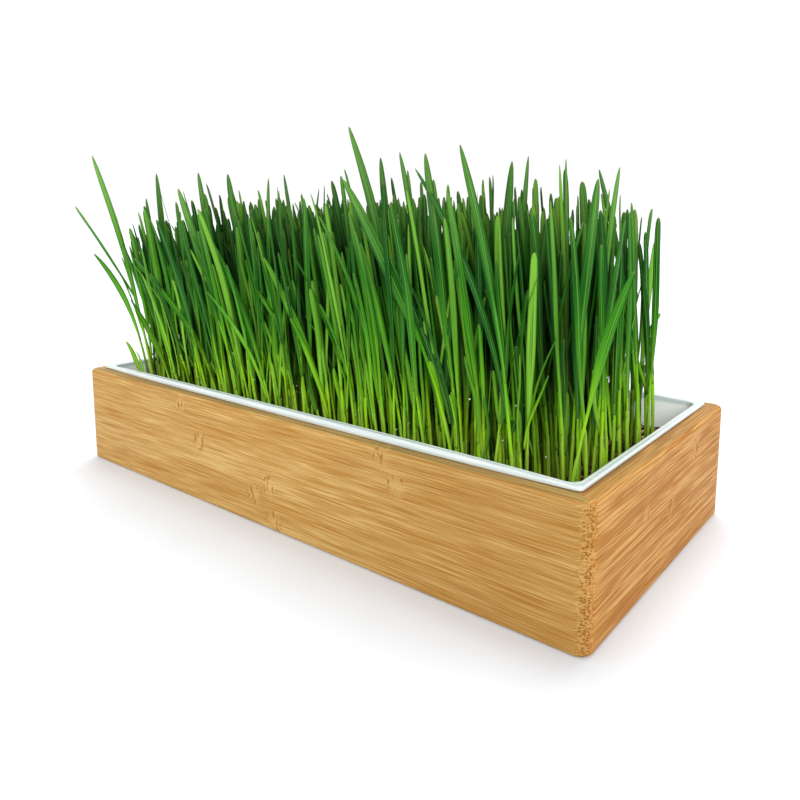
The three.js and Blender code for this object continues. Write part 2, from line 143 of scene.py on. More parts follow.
# Wheat grains round the edge of the mat
GRAIN_LENGTH = 6.4
GRAIN_WIDTH = 3.2
GRAIN_RISE = 0.3
GRAIN_COUNT = 64
GRAIN_GAP = 1
GRAIN_BAND = (0.84, 0.96)
GRAIN_TRIES = 4000

# Blades that stand out of the bed: root x and y, tip x, y and z, width, then how much of the lean
# comes early and how far the blade arches over, where LEADING_BEND doesn't say so. A fork leaves the
# blade at that share of its height.
LEADING_BLADES = [
    dict(root=(-140, -66), tip=(-185, -78, 210), width=5, early=0.5,
         forks=[dict(at=0.4, tip=(-213, -78, 176), width=2.6, early=0.9)]),
    dict(root=(-150, -63), tip=(-191, -78, 143), width=4, early=0.45, arch=0.4),
    dict(root=(-145, -69), tip=(-158, -76, 84), width=3.4, early=0.5),
    dict(root=(-63, -69), tip=(-141, -77, 142), width=4.4, early=0.3, arch=0.1),
    dict(root=(-141, -49), tip=(-137, -60, 197), width=4.4),
    dict(root=(-138, -57), tip=(-149, -61, 181), width=3.6),
    dict(root=(-56, -67), tip=(-95, -72, 186), width=6, early=0.3),
    dict(root=(-88, -46), tip=(-105, -50, 197), width=4.6),
    dict(root=(-42, -58), tip=(-59, -62, 194), width=5),
    dict(root=(-37, -63), tip=(-47, -66, 163), width=5.2),
    dict(root=(-14, -70), tip=(-59, -76, 156), width=4.6, early=0.3),
    dict(root=(-21, -66), tip=(-18, -66, 190), width=3),
    dict(root=(30, -69), tip=(-12, -76, 147), width=4.8, early=0.3),
    dict(root=(-62, 2), tip=(-79, 0, 197), width=3.4, early=0.3),
    dict(root=(112, -70), tip=(48, -76, 187), width=6, early=0.42),
    dict(root=(77, -60), tip=(39, -62, 214), width=5.4, early=0.3),
    dict(root=(36, -18), tip=(24, -20, 202), width=5),
    dict(root=(78, -36), tip=(54, -40, 202), width=4.4),
    dict(root=(109, -63), tip=(90, -66, 198), width=5.6, early=0.6),
    dict(root=(141, -68), tip=(113, -72, 200), width=5.4, early=0.45, arch=0.12),
    dict(root=(114, -42), tip=(123, -45, 194), width=5.2),
    dict(root=(104, -8), tip=(112, -10, 199), width=3.8),
    dict(root=(146, -28), tip=(142, -30, 195), width=3.4),
    dict(root=(164, 20), tip=(137, 18, 193), width=4.6, early=0.3),
    dict(root=(152, -18), tip=(163, -20, 191), width=3.8),
    dict(root=(155, -43), tip=(164, -45, 185), width=5.6),
    dict(root=(162, -57), tip=(183, -50, 148), width=5.4, early=0.35),
    dict(root=(160, -30), tip=(172, -34, 168), width=4),
    dict(root=(166, 10), tip=(159, 6, 176), width=3.6),
    dict(root=(166, 33), tip=(158, 30, 158), width=3.6, early=0.9,
         forks=[dict(at=0.55, tip=(166, 34, 120), width=3, early=0.6)]),
]

# Seedlings between the blades that the solids hold. Each pass over the bed plants blades of some
# share of the bed's height. When two are compared, each counts as a part of its width.
FILLER_PASSES = [(0.72, 1.0), (0.72, 1.0), (0.3, 0.72)]
FILLER_TRIES = 10
FILLER_GAP = 0.15
FILLER_THIN = 0.35
FILLER_SPREAD = 0.15
FILLER_WIDTH = (0.6, 1.0)
FILLER_SEED = 5
MOST_BLADES = 6000

# Where seedlings and second leaves end: towards +X, how much sooner for each millimetre towards the
# back, above the floor and short of the box's long sides. Near the +X end some are left out.
FILLER_END = 165
FAR_CORNER_CUT = 0.2
FILLER_TOP = 205
TIP_MARGIN = 2
SPARSE_END = (130, 165)
SPARSE_SHARE = 0.7

# How the bed is split into pieces, and how dark a painted shade makes it inward: the depths between which
# that grows, a factor for the depth that falls towards the +X end, where more light gets in, and how much
# of the painted shade is left at the foot and at the top. Each of these has a low and a high rise, then
# the share at them. The rise is 1 this far above the soil.
CLUMP_COUNT = 4
CLUMP_LENGTH = BOX_LENGTH / 2 / CLUMP_COUNT
DEEP_IN_BED = (4, 19)
OPEN_END = (10, 110)
CROWDING = (1.8, 0.68)
FOOT_SHADE = (0.15, 0.4, 0.72, 1)
TOP_SHADE = (0.5, 0.95, 1, 0.25)
FULL_RISE = 150

# What the shader knows of each point of a blade: its rise, its place across from -1 to 1, the blade's
# tone, whether it is stem, sheath or leaf, the painted shade of the bed there and its share of the length
POINT_FIELDS = ("rise", "across", "tone", "kind", "painted_bed_shade", "along")
STEM_KIND = 0
SHEATH_KIND = 0.5
LEAF_KIND = 1

# A leaf's section, round its outer face and back along the inner one: place across, and which face
SECTION_ACROSS = np.array([-1, -0.5, 0, 0.5, 1, 0.5, 0, -0.5])
SECTION_INNER = np.array([0, 0, 0, 0, 0, 1, 1, 1])
SECTION_CREASES = (0, 2, 4)

# Shares of the length at which stems, sheaths and leaves have a ring of points, and a small step
# along it for telling a direction
LINE_STEP = 0.01
STEM_SHARES = np.array([-0.035, 0, 0.35, 0.7, 1])
SHEATH_SHARES = np.array([0, 0.3, 0.6, 0.82, 0.93, 1])
LEAF_SHARES = np.array([0, 0.06, 0.14, 0.24, 0.36, 0.48, 0.6, 0.72, 0.84, 0.92, 0.965, 0.99, 1])

# Stems: their corners, how much they taper, how far they go on inside the leaf, and the range of
# their share of the full width. Sheaths: where they end, how far off the stem they are at the foot
# and the tip, and the shares of their length between which the slit opens, then the angles that they
# span there.
STEM_CORNERS = 7
STEM_TAPER = 0.22
STEM_OVERLAP = 0.05
SLIM = (0.58, 0.84)
SHEATH_END = (0.12, 0.28)
SHEATH_ROOM = (0.17, 0.07)
SHEATH_CURL = (0.75, 1, 335, 35)
SHEATH_THICKNESS = 0.15

# Leaves: where they start, the shares of their length between which they unroll and the angles that
# they span before and after, those between which they widen and their shares of the width there,
# where they start to taper and how much, the angle that the two halves rise by and how much less it
# is at the tip, and how blunt the tip is, which is sharper on a leading blade
LEAF_START = (0.24, 0.4)
LEAF_UNROLLS = (0, 0.3)
LEAF_CURL = (235, 105)
LEAF_WIDENS = (0.12, 0.5, 0.62, 1)
LEAF_TAPERS = 0.5
LEAF_TAPER = 0.25
ROLLED_WIDTH = 1.7
LEAST_WIDTH = 0.16
LEAF_THICKNESS = 0.25
LEAF_THINS = 0.5
FOLD = (16, 50)
FLATTENS = 0.4
BLUNT_TIP = (8, 20)
SHARP_TIP = (3, 6)

# How pale a blade's green is, which varies less on the leading ones, and how far it sways
ANY_TONE = (0, 1)
CALM_TONE = (0.3, 0.75)
SWAY = 2.4

# Second leaves: how many blades have one, then ranges of its share of the first one's length, of how
# far its tip goes aside as a share of the height, of its width, of how much of the lean comes early
# and of where it starts. It goes less far aside across the tray, and its face is turned by an angle.
SECOND_LEAVES = 0.6
SECOND_LENGTH = (0.6, 1)
SECOND_ASIDE = (0.05, 0.24)
SECOND_ACROSS = 0.7
SECOND_WIDTH = (1.8, 3.6)
SECOND_EARLY = (0.1, 0.35)
SECOND_START = (0.2, 0.4)
SECOND_TURN = -0.5

# Litter on the soil, mostly as ranges: a crumb's half length, its shares across and up and how far
# its middle is lifted, a husk's half length, width and height, a root hair's bend, length, lift and
# radius, a drop's place up its blade and its radius, and the stem's share of its full radius there.
# The first and the last ring of a lump are part of a step in from its ends.
LITTER_SEED = 11
LITTER_HALF_LENGTH = 170
LITTER_HALF_DEPTH = 74
CRUMB_COUNT = 2600
CRUMB_SIZE = (0.4, 1.7)
CRUMB_SHARES = [(0.6, 1), (0.5, 0.9)]
CRUMB_LIFT = 0.4
HUSK_COUNT = 420
HUSK_SIZE = [(1.6, 3.2), (0.6, 1.5), (0.3, 1.2)]
HAIR_COUNT = 500
HAIR_LEVELS = 7
HAIR_CORNERS = 4
HAIR_SHAPE = [(-1.2, 1.2), (4, 11), (0.5, 3), (0.1, 0.2)]
DEW_COUNT = 420
DEW_PLACE = (0.1, 0.45)
DEW_SIZE = (0.25, 0.5)
DEW_STEM = 0.85
LUMP_END = 0.35

# The liner's rim is a little higher in the middle of the long sides, by this share of its height
RIM_LIFT = 0.95

# The rim's section from its outer foot: a round bead, a shallow groove and a lip inside. Each place
# has an inset from the rim's outer edge, a height over its foot, and how far it bows outward in the
# middle of the long sides.
RIM_SECTION = [
    (0.25, 0, 2.1), (0, 0.3, 2.1), (0, 1.05, 2.1), (0.18, 1.4, 2.0), (0.55, 1.62, 1.8),
    (1.0, 1.7, 1.6), (1.5, 1.66, 1.3), (1.9, 1.5, 1.0), (2.15, 1.36, 0.8), (2.45, 1.34, 0.4),
    (2.9, 1.46, -0.2), (3.4, 1.5, -0.8), (3.8, 1.4, -1.1), (4.0, 1.1, -1.2), (4.05, 0.5, -0.8),
]

# Bamboo, from the ends of its fibre bundles to its palest streaks, and two stains that also carry painted
# shade
BAMBOO_DARK = (0.20, 0.066, 0.008)
BAMBOO_LINE = (0.30, 0.120, 0.015)
BAMBOO_BROWN = (0.35, 0.165, 0.028)
BAMBOO_HONEY = (0.42, 0.240, 0.068)
BAMBOO_PALE = (0.53, 0.345, 0.122)
OLIVE_STAIN_AND_SHADE = (0.20, 0.150, 0.044)
UMBER_STAIN_AND_SHADE = (0.23, 0.125, 0.036)
BAMBOO_GLOSS = 0.13

# Each board's grain: the axis that it runs along, where along it its colour starts to turn and where
# it has turned, the shade that it turns to, how much its streaks stand out, the stain on its top
# face, which carries painted shade, and the places of its knuckles along it and up, in millimetres.
BOARDS = {
    "front_board": dict(
        axis="X", turns=(40, 150), shade=(0.84, 0.80, 0.74), bold=1.0, stain=OLIVE_STAIN_AND_SHADE,
        knuckles=[(-76, 57), (-58, 37), (-9, 17), (4, 25), (7, 6), (83, 61), (92, 47)]),
    "back_board": dict(
        axis="X", turns=(-40, 150), shade=(0.95, 0.86, 0.75), bold=1.1, stain=OLIVE_STAIN_AND_SHADE,
        knuckles=[(96, 40), (-30, 19), (-122, 51), (-112, 44)]),
    "left_board": dict(
        axis="Y", turns=(-60, 200), shade=(1.0, 0.86, 0.70), bold=1.3, stain=UMBER_STAIN_AND_SHADE,
        knuckles=[(31, 37), (-48, 12)]),
    "right_board": dict(
        axis="Y", turns=(-260, -100), shade=(1.05, 0.86, 0.64), bold=2.3, stain=UMBER_STAIN_AND_SHADE,
        knuckles=[(-30, 40), (3, 30), (38, 51)]),
}
BASE_GRAIN = dict(
    axis="X", turns=(0, 400), shade=(1.0, 0.84, 0.68), bold=1.0, knuckles=[(-90, 0), (60, 6)])
KNUCKLE_LENGTH = 6
KNUCKLE_HEIGHT = 6.5
KNUCKLE_SWAY = 8.0
LEVEL_DRIFT = 1.5

# Layers of the grain: how coarse each is along the fibres and fine across them, how soft its streaks
# are, and its share of the tone
STREAKS = {
    "broad": (0.005, 0.09, 0.12, 0.18),
    "middle": (0.007, 0.45, 0.15, 0.14),
    "fibre": (0.026, 1.25, 0.09, 0.36),
    "hair": (0.045, 2.3, 0.09, 0.28),
}
STRIP_SHARE = 0.1
TONE_START = -0.03
TONE_COLORS = [(-0.32, BAMBOO_BROWN), (-0.06, BAMBOO_HONEY), (0.06, BAMBOO_HONEY), (0.32, BAMBOO_PALE)]

# The white of the liner: inside, brightened by painted light, and on its rim, darkened by painted shade,
# where it lies in faint lines
INSIDE_WHITES_PAINTED_LIGHT = ((0.89, 0.91, 0.895), (0.89, 0.91, 0.90))
RIM_WHITES_PAINTED_SHADE = ((0.50, 0.585, 0.585), (0.64, 0.68, 0.67))

# Colours by a share that grows: growing mix and grains from hollows to tips, darkest in the hollows as
# painted shade, roots, and wheatgrass from its foot up, paler and greyer at the top partly as a painted
# sheen
SOIL_COLORS = [(0.3, (0.012, 0.005, 0.002)), (0.52, (0.055, 0.024, 0.008)), (0.75, (0.17, 0.09, 0.032))]
GRAIN_COLORS = [(0.2, (0.10, 0.05, 0.016)), (0.5, (0.30, 0.18, 0.062)), (0.85, (0.52, 0.38, 0.17))]
ROOT_COLORS = [(0.35, (0.16, 0.10, 0.05)), (0.6, (0.45, 0.38, 0.24))]
GRASS_COLORS = [
    (0.0, (0.44, 0.66, 0.040)), (0.12, (0.32, 0.58, 0.014)), (0.26, (0.19, 0.47, 0.006)),
    (0.43, (0.056, 0.275, 0.003)), (0.64, (0.016, 0.140, 0.006)), (0.95, (0.125, 0.310, 0.055)),
]
SOIL_FIBRE = (0.42, 0.26, 0.10)
SOIL_GLOSS = 0.15
DEW_CLEARS = ((0.95, 1.0, 0.95), (1, 1, 1))

# Greens laid over these, among them painted shade at the leaves' edges and deep in the bed and a midrib
# that is partly a painted highlight, and how much light a leaf lets through
GRASS_LIME = (0.21, 0.50, 0.04)
GRASS_DEEP = (0.004, 0.070, 0.012)
GRASS_PALE_VEIN = (0.12, 0.42, 0.05)
GRASS_DARK_VEIN = (0.004, 0.045, 0.002)
GRASS_MIDRIB_AND_HIGHLIGHT = (0.28, 0.52, 0.09)
GRASS_EDGE_PAINTED_SHADE = (0.004, 0.05, 0.002)
GRASS_SHEATH = (0.30, 0.50, 0.08)
GRASS_DRY = (0.26, 0.26, 0.08)
GRASS_GLOOM = (0.0008, 0.012, 0.0001)
GRASS_GLOSS = 0.07
GRASS_GLOW = 0.15

# Camera, fitted to the box's edges in the photograph. The row is where the camera's own axis is.
CAMERA_PLACE = (286.1, -327.2, 170.6)
CAMERA_YAW = 38.91
CAMERA_PITCH = 7.97
FOCAL_LENGTH_PIXELS = 702.9
FRAME_PIXELS = 800
AXIS_ROW = 312.1
SENSOR_WIDTH = 36
NEAREST_M = 0.01

# Studio: each sun's direction seen from the tray, its strength and its width in degrees
SUNS = {
    "key": ((0.5, -0.75, 0.45), 1.9, 30),
    "top": ((-0.2, 0.45, 1.15), 1.8, 35),
}
WORLD_STRENGTH = 1.03
FLOOR_GREYS = ((0.665, 0.69, 0.725), (0.68, 0.705, 0.74))
FLOOR_REACH = 12000


# Meshes

def make_object(name, points, faces, material):
    """A mesh object from points in millimetres."""
    mesh = bpy.data.meshes.new(name)
    mesh.from_pydata((np.asarray(points, float) * MM).tolist(), [], faces)
    mesh.polygons.foreach_set("use_smooth", [True] * len(mesh.polygons))
    mesh.materials.append(material)
    mesh.update()
    made = bpy.data.objects.new(name, mesh)
    bpy.context.scene.collection.objects.link(made)
    return made


def add_attribute(made, name, values):
    layer = made.data.attributes.new(name, "FLOAT", "POINT")
    layer.data.foreach_set("value", np.asarray(values, np.float32))


def place(made, slot, *nodes):
    """The piece rides on the tray and stands for these CAD nodes; slot is not used."""
    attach(made, "root")
    if nodes:
        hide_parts(*nodes)
    return made


def inset_ring(inset, radius, z, steps, side_steps):
    """A rounded rectangle at one height, anticlockwise seen from above."""
    span_x = BOX_LENGTH / 2 - inset - radius
    span_y = BOX_DEPTH / 2 - inset - radius
    ring = []
    for sign_x, sign_y, start in [(1, 1, 0), (-1, 1, 1), (-1, -1, 2), (1, -1, 3)]:
        for step in range(steps + 1):
            angle = (start + step / steps) * math.pi / 2
            x = sign_x * span_x + radius * math.cos(angle)
            y = sign_y * span_y + radius * math.sin(angle)
            ring.append((x, y, z))
        along_x = sign_x == sign_y
        far = (-x, y) if along_x else (x, -y)
        for step in range(1, side_steps):
            share = step / side_steps
            ring.append((x + (far[0] - x) * share, y + (far[1] - y) * share, z))
    return ring


def ring_faces(bodies, levels, corners):
    """Faces of closed bodies, each a stack of rings of points that climb on the outside."""
    level, corner = np.meshgrid(np.arange(levels - 1), np.arange(corners), indexing="ij")
    here = level * corners + corner
    after = level * corners + (corner + 1) % corners
    sides = np.stack([here, after, after + corners, here + corners], axis=-1).reshape(-1, 4)
    caps = np.stack([np.arange(corners)[::-1], (levels - 1) * corners + np.arange(corners)])
    starts = np.arange(bodies)[:, None, None] * levels * corners
    return [*(sides + starts).reshape(-1, 4).tolist(), *(caps + starts).reshape(-1, corners).tolist()]


def loft(name, rings, material):
    """One closed body through rings of equal length."""
    rings = np.array(rings)
    return make_object(name, rings.reshape(-1, 3), ring_faces(1, *rings.shape[:2]), material)


# Shader graphs

class Value:
    """A number that varies over a surface. Sums and products of values become math nodes."""

    def __init__(self, graph, socket):
        self.graph = graph
        self.socket = socket

    def __add__(self, other):
        return self.graph.math("ADD", self, other)

    def __sub__(self, other):
        return self.graph.math("SUBTRACT", self, other)

    def __rsub__(self, other):
        return self.graph.math("SUBTRACT", other, self)

    def __mul__(self, other):
        return self.graph.math("MULTIPLY", self, other)

    def __truediv__(self, other):
        return self.graph.math("DIVIDE", self, other)

    def __abs__(self):
        return self.graph.math("ABSOLUTE", self)


class Graph:
    """Adds nodes to a material's tree and links them."""

    def __init__(self, name):
        self.material = bpy.data.materials.new(name)
        self.material.use_nodes = True
        self.tree = self.material.node_tree
        self.shader = self.tree.nodes["Principled BSDF"]

    def add(self, kind, inputs=None, **settings):
        node = self.tree.nodes.new(kind)
        for name, value in settings.items():
            setattr(node, name, value)
        for name, value in (inputs or {}).items():
            self.feed(node.inputs[name], value)
        return node

    def feed(self, socket, value):
        if isinstance(value, Value):
            value = value.socket
        if isinstance(value, bpy.types.NodeSocket):
            self.tree.links.new(value, socket)
        else:
            socket.default_value = value

    def math(self, operation, *values, clamp=False):
        node = self.add("ShaderNodeMath", dict(enumerate(values)), operation=operation, use_clamp=clamp)
        return Value(self, node.outputs[0])

    def spread(self, value, low, high, to_low=0.0, to_high=1.0):
        """A value taken from one range to another and held inside it."""
        inputs = {"Value": value, "From Min": low, "From Max": high, "To Min": to_low, "To Max": to_high}
        return Value(self, self.add("ShaderNodeMapRange", inputs).outputs["Result"])

    def vector(self, x, y, z):
        return self.add("ShaderNodeCombineXYZ", {"X": x, "Y": y, "Z": z}).outputs[0]

    def split(self, vector):
        node = self.add("ShaderNodeSeparateXYZ", {0: vector})
        return [Value(self, node.outputs[axis]) for axis in "XYZ"]

    def place(self):
        """Where a point is on the part, in millimetres."""
        metres = self.split(self.add("ShaderNodeTexCoord").outputs["Object"])
        return [value * (1 / MM) for value in metres]

    def here(self):
        return self.vector(*self.place())

    def noise(self, vector, scale=1.0, detail=2.0, rough=0.5):
        inputs = {"Vector": vector, "Scale": scale, "Detail": detail, "Roughness": rough}
        return Value(self, self.add("ShaderNodeTexNoise", inputs).outputs["Fac"])

    def cells(self, vector, scale, loose=1.0):
        """The distance from the middle of the nearest of many cells."""
        inputs = {"Vector": vector, "Scale": scale, "Randomness": loose}
        return Value(self, self.add("ShaderNodeTexVoronoi", inputs).outputs["Distance"])

    def attribute(self, name):
        return Value(self, self.add("ShaderNodeAttribute", attribute_name=name).outputs["Fac"])

    def mix(self, share, first, second, blend="MIX"):
        node = self.add("ShaderNodeMix", {0: share}, data_type="RGBA", blend_type=blend)
        for index, color in [(6, first), (7, second)]:
            self.feed(node.inputs[index], (*color, 1) if isinstance(color, tuple) else color)
        return node.outputs[2]

    def coats(self, color, *coats):
        """A colour with others laid over it in turn, each by its share."""
        for share, coat in coats:
            color = self.mix(share, color, coat)
        return color

    def ramp(self, share, stops):
        node = self.add("ShaderNodeValToRGB", {"Fac": share})
        elements = node.color_ramp.elements
        while len(elements) < len(stops):
            elements.new(0.5)
        for element, (position, color) in zip(elements, stops):
            element.position = position
            element.color = (*color, 1)
        return node.outputs["Color"]

    def bump(self, height, distance, strength):
        inputs = {"Height": height, "Distance": distance * MM, "Strength": strength}
        self.feed(self.shader.inputs["Normal"], self.add("ShaderNodeBump", inputs).outputs[0])

    def finish(self, color, rough, gloss=0.5):
        """The material, with its colour, its roughness and how strongly it mirrors all over."""
        self.feed(self.shader.inputs["Base Color"], color)
        self.feed(self.shader.inputs["Roughness"], rough)
        self.shader.inputs["Specular IOR Level"].default_value = gloss
        return self.material


# Bamboo

def knuckle_mask(graph, along, height, wobble, knuckles):
    """1 at the middle of a knuckle, where the fibres of a strip cross over each other."""
    total = 0.0
    swayed = along + (wobble - 0.5) * KNUCKLE_SWAY
    for place_along, place_height in knuckles:
        side = (swayed - place_along) / KNUCKLE_LENGTH
        rise = (height - place_height) / KNUCKLE_HEIGHT
        near = graph.math("SUBTRACT", 1.0, side * side + rise * rise, clamp=True)
        total = graph.math("ADD", total, near, clamp=True)
    return total


def grain_color(graph, along, across, level, bold):
    """Streaks along the fibres, a little different in each strip, with fine dark lines and a seam
    between strips. Returns the colour, its broad streaks and its fibres."""
    strip = graph.math("FLOOR", level / STRIP_HEIGHT)
    strip_tone = graph.add("ShaderNodeTexWhiteNoise", {"W": strip}, noise_dimensions="1D")
    strip_tone = Value(graph, strip_tone.outputs["Value"])

    def streaks(coarse, fine, detail):
        place = graph.vector(strip_tone * 90.0 + along * coarse, across * fine, level * fine)
        return graph.noise(place, 1.0, detail, 0.6)

    tone = strip_tone * STRIP_SHARE + TONE_START
    layers = {}
    for name, (coarse, fine, soft, share) in STREAKS.items():
        layers[name] = graph.spread(streaks(coarse, fine, 1.0), 0.5 - soft, 0.5 + soft)
        tone = tone + layers[name] * share
    color = graph.ramp(tone, [(0.5 + place / bold, tint) for place, tint in TONE_COLORS])
    lines = graph.spread(streaks(0.02, 2.2, 0.0), 0.62 - 0.03 * bold, 0.68)
    seam = abs(graph.math("FRACT", level / STRIP_HEIGHT) - 0.5)
    color = graph.coats(
        color,
        (lines * graph.spread(layers["middle"], 0.85, 0.25, 0.05, 0.8), BAMBOO_LINE),
        (graph.spread(seam, 0.482, 0.5) * 0.3, BAMBOO_DARK))
    return color, layers["broad"], layers["fibre"]


def end_grain(graph, along, across, level, facing):
    """Dark ends of the fibre bundles where a face cuts across the grain, in a cluster for each strip.
    Returns how much of the end grain shows, and the dots."""
    wave = graph.math("SINE", level * (2 * math.pi / STRIP_HEIGHT)) * 0.05
    shows = graph.spread(abs(facing) + wave, 0.30, 0.46)
    bundles = graph.cells(graph.vector(along * 0.02, across, level), 1.1, 0.7)
    patchy = graph.noise(graph.vector(2.0, across * 0.08, level), 0.16, 1.0)
    dots = graph.spread(bundles, 0.55, 0.38) * graph.spread(patchy + wave * 1.6, 0.22, 0.36)
    return shows, dots * shows


def top_stain_and_painted_shade(graph, along, across, half_across, upward):
    """Painted shade on the boards' top faces, with some stain: darker in patches beside the rim, for the
    rim's shadow and a painted green reflection of the grass, and darker on all top faces, which get more
    light.
    """
    patchy = graph.noise(graph.vector(along * 0.012, 7.0, 0.0), 1.0, 3.0)
    rough = graph.noise(graph.vector(along * 0.15, across, 0.0), 0.8)
    inset = half_across - abs(across)
    stain = graph.spread(inset + rough * 2.0, 5.2, 7.0) * graph.spread(patchy, 0.4, 0.6, 0.2, 0.95)
    # Every top face gets at least this share of it, a painted shade against the light from above
    return graph.spread(upward, 0.8, 0.98) * graph.math("MAXIMUM", stain, 0.55)


def bamboo(name, axis, turns, shade, bold, knuckles, stain=None, half_across=None):
    """Laminated bamboo whose fibres run along one axis, so that they show as streaks on the faces
    along it and as dots where a rounded corner cuts across them."""
    graph = Graph(name)
    x, y, z = graph.place()
    along, across = (x, y) if axis == "X" else (y, x)
    wobble = graph.noise(graph.vector(along * 0.6, across, z), 0.5)
    drift = graph.noise(graph.vector(along * 0.007, 3.0, z * 0.04))
    knuckle = knuckle_mask(graph, along, z, wobble, knuckles)
    level = z + drift * LEVEL_DRIFT + wobble * knuckle * LEVEL_DRIFT
    color, broad, fibre = grain_color(graph, along, across, level, bold)
    squiggle = graph.noise(graph.vector(along, across * 0.4, z * 0.35), 0.6, 3.0)
    knot = graph.spread(knuckle, 0.0, 0.4) * graph.spread(squiggle, 0.53, 0.6)
    color = graph.coats(color, (knuckle * 0.5, BAMBOO_PALE), (knot * 0.85, BAMBOO_LINE))
    turned = graph.spread(along + broad * 40.0, *turns, 0.0, 0.9)
    color = graph.mix(turned, color, shade, "MULTIPLY")
    normal = graph.split(graph.add("ShaderNodeNewGeometry").outputs["Normal"])
    shows, dots = end_grain(graph, along, across, level, normal["XY".index(axis)])
    color = graph.coats(color, (shows * 0.5, BAMBOO_HONEY), (dots * 0.85, BAMBOO_DARK))
    # The top faces' stain carries painted shade and a painted green reflection of the grass
    if stain:
        stain_and_shade_share = top_stain_and_painted_shade(graph, along, across, half_across, normal[2])
        color = graph.mix(stain_and_shade_share * graph.spread(fibre, 0.0, 1.0, 1.0, 0.55), color, stain)
    graph.bump(fibre * 0.3 - dots, 0.08, 0.2)
    return graph.finish(color, graph.spread(fibre, 0.0, 1.0, 0.6, 0.48), BAMBOO_GLOSS)


def board_profile():
    """Inset and height of a board's section, from the foot of its outer face round to its foot inside."""
    turns = [step / EASE_STEPS * math.pi / 2 for step in range(EASE_STEPS + 1)]
    eased = [(EDGE_EASE * (1 - math.sin(turn)), EDGE_EASE * (1 - math.cos(turn))) for turn in turns]
    rebate_top = BASE_THICKNESS + CLEARANCE
    return [
        *eased,
        *((inset, BOX_HEIGHT - rise) for inset, rise in reversed(eased)),
        (BOARD_THICKNESS - INNER_EASE, BOX_HEIGHT),
        (BOARD_THICKNESS, BOX_HEIGHT - INNER_EASE),
        (BOARD_THICKNESS, rebate_top),
        (BOARD_THICKNESS - REBATE_WIDTH, rebate_top),
        (BOARD_THICKNESS - REBATE_WIDTH, 0),
    ]


def corner_point(half_along, half_across, inset, share):
    """A point of one end of a board, from its mitre (0) to the end of the rounded corner (1).
    Returns how far it is from the middle of the box, along the board and across it."""
    radius = max(CORNER_RADIUS - inset, 0)
    angle = (1 - share) * math.pi / 4
    if radius > 0:
        along = half_along - CORNER_RADIUS + radius * math.sin(angle)
        depth = half_across - CORNER_RADIUS + radius * math.cos(angle)
        return along, depth
    reach = CORNER_RADIUS * math.sin(math.pi / 4)
    return half_along - inset - share * reach, half_across - inset


def board(name, material):
    """A board with mitred ends, rounded upright corners and eased edges, as one closed body."""
    side = name.removesuffix("_board")
    quarter_turns = ["front", "right", "back", "left"].index(side)
    half_along, half_across = BOX_LENGTH / 2, BOX_DEPTH / 2
    if quarter_turns % 2:
        half_along, half_across = half_across, half_along
    shares = [step / BOARD_CORNER_STEPS for step in range(BOARD_CORNER_STEPS + 1)]
    stations = [(-1, share) for share in shares]
    stations += [(2 * step / BOARD_STEPS - 1, 1) for step in range(1, BOARD_STEPS)]
    stations += [(1, share) for share in reversed(shares)]
    rings = []
    for place_along, share in stations:
        gap = MITRE_GAP if abs(place_along) == 1 else 0
        ring = []
        for inset, z in board_profile():
            reach, depth = corner_point(half_along, half_across, inset, share)
            x, y = place_along * (reach - gap), -depth
            for _ in range(quarter_turns):
                x, y = -y, x
            ring.append((x, y, z))
        rings.append(ring)
    made = loft(f"{side}_panel", rings, material)
    sharpen(made, BOARD_CREASE)
    return place(made, "bamboo", name)


def sharpen(made, angle):
    """Smooth shading over curves, with a crease wherever faces meet at more than this angle."""
    mesh = bmesh.new()
    mesh.from_mesh(made.data)
    bmesh.ops.recalc_face_normals(mesh, faces=mesh.faces)
    for edge in mesh.edges:
        edge.smooth = len(edge.link_faces) == 2 and edge.calc_face_angle(0) < math.radians(angle)
    mesh.to_mesh(made.data)
    mesh.free()


# Liner

def glossy_white():
    """White that is brightened inside by painted light and darkened on the rim by painted shade, where it
    lies in faint lines.
    """
    graph = Graph("liner_white")
    x, y, z = graph.place()
    here = graph.vector(x, y, z)
    cloud = graph.noise(here, 0.03)
    lines = graph.noise(graph.vector(x * 0.02, y, z), 1.4)
    inside = graph.mix(cloud, *INSIDE_WHITES_PAINTED_LIGHT)
    rim = graph.mix(graph.spread(lines, 0.35, 0.65), *RIM_WHITES_PAINTED_SHADE)
    graph.bump(graph.noise(here, 0.25, 3.0), 0.05, 0.15)
    # Painted light inside and painted shade on the rim, blended at the height of the box's top
    color = graph.mix(graph.spread(z, BOX_HEIGHT - RIM_BLEND, BOX_HEIGHT), inside, rim)
    return graph.finish(color, graph.spread(cloud, 0.3, 0.7, 0.16, 0.24))


def liner_inset(z):
    drop = (RIM_TOP - z) / (RIM_TOP - LINER_FLOOR)
    return RIM_INNER_INSET + LINER_DRAFT * drop


def liner_levels(margin, top):
    """Inset and height up the inside of the liner from its floor, moved in and up by a margin."""
    levels = []
    for step in range(EASE_STEPS + 1):
        turn = step / EASE_STEPS * math.pi / 2
        rise = FLOOR_FILLET * (1 - math.cos(turn))
        inset = liner_inset(LINER_FLOOR + rise) + FLOOR_FILLET * (1 - math.sin(turn)) + margin
        levels.append((inset, LINER_FLOOR + rise + margin))
    levels.append((liner_inset(top) + margin, top))
    return levels


def bowed(ring, bow, lift):
    """A ring whose long sides are pushed outward and up in their middles."""
    half = BOX_LENGTH / 2 - RIM_INNER_INSET
    points = []
    for x, y, z in ring:
        share = max(0, 1 - (x / half) ** 4)
        points.append((x, y + math.copysign(bow * share, y), z + lift * share))
    return points


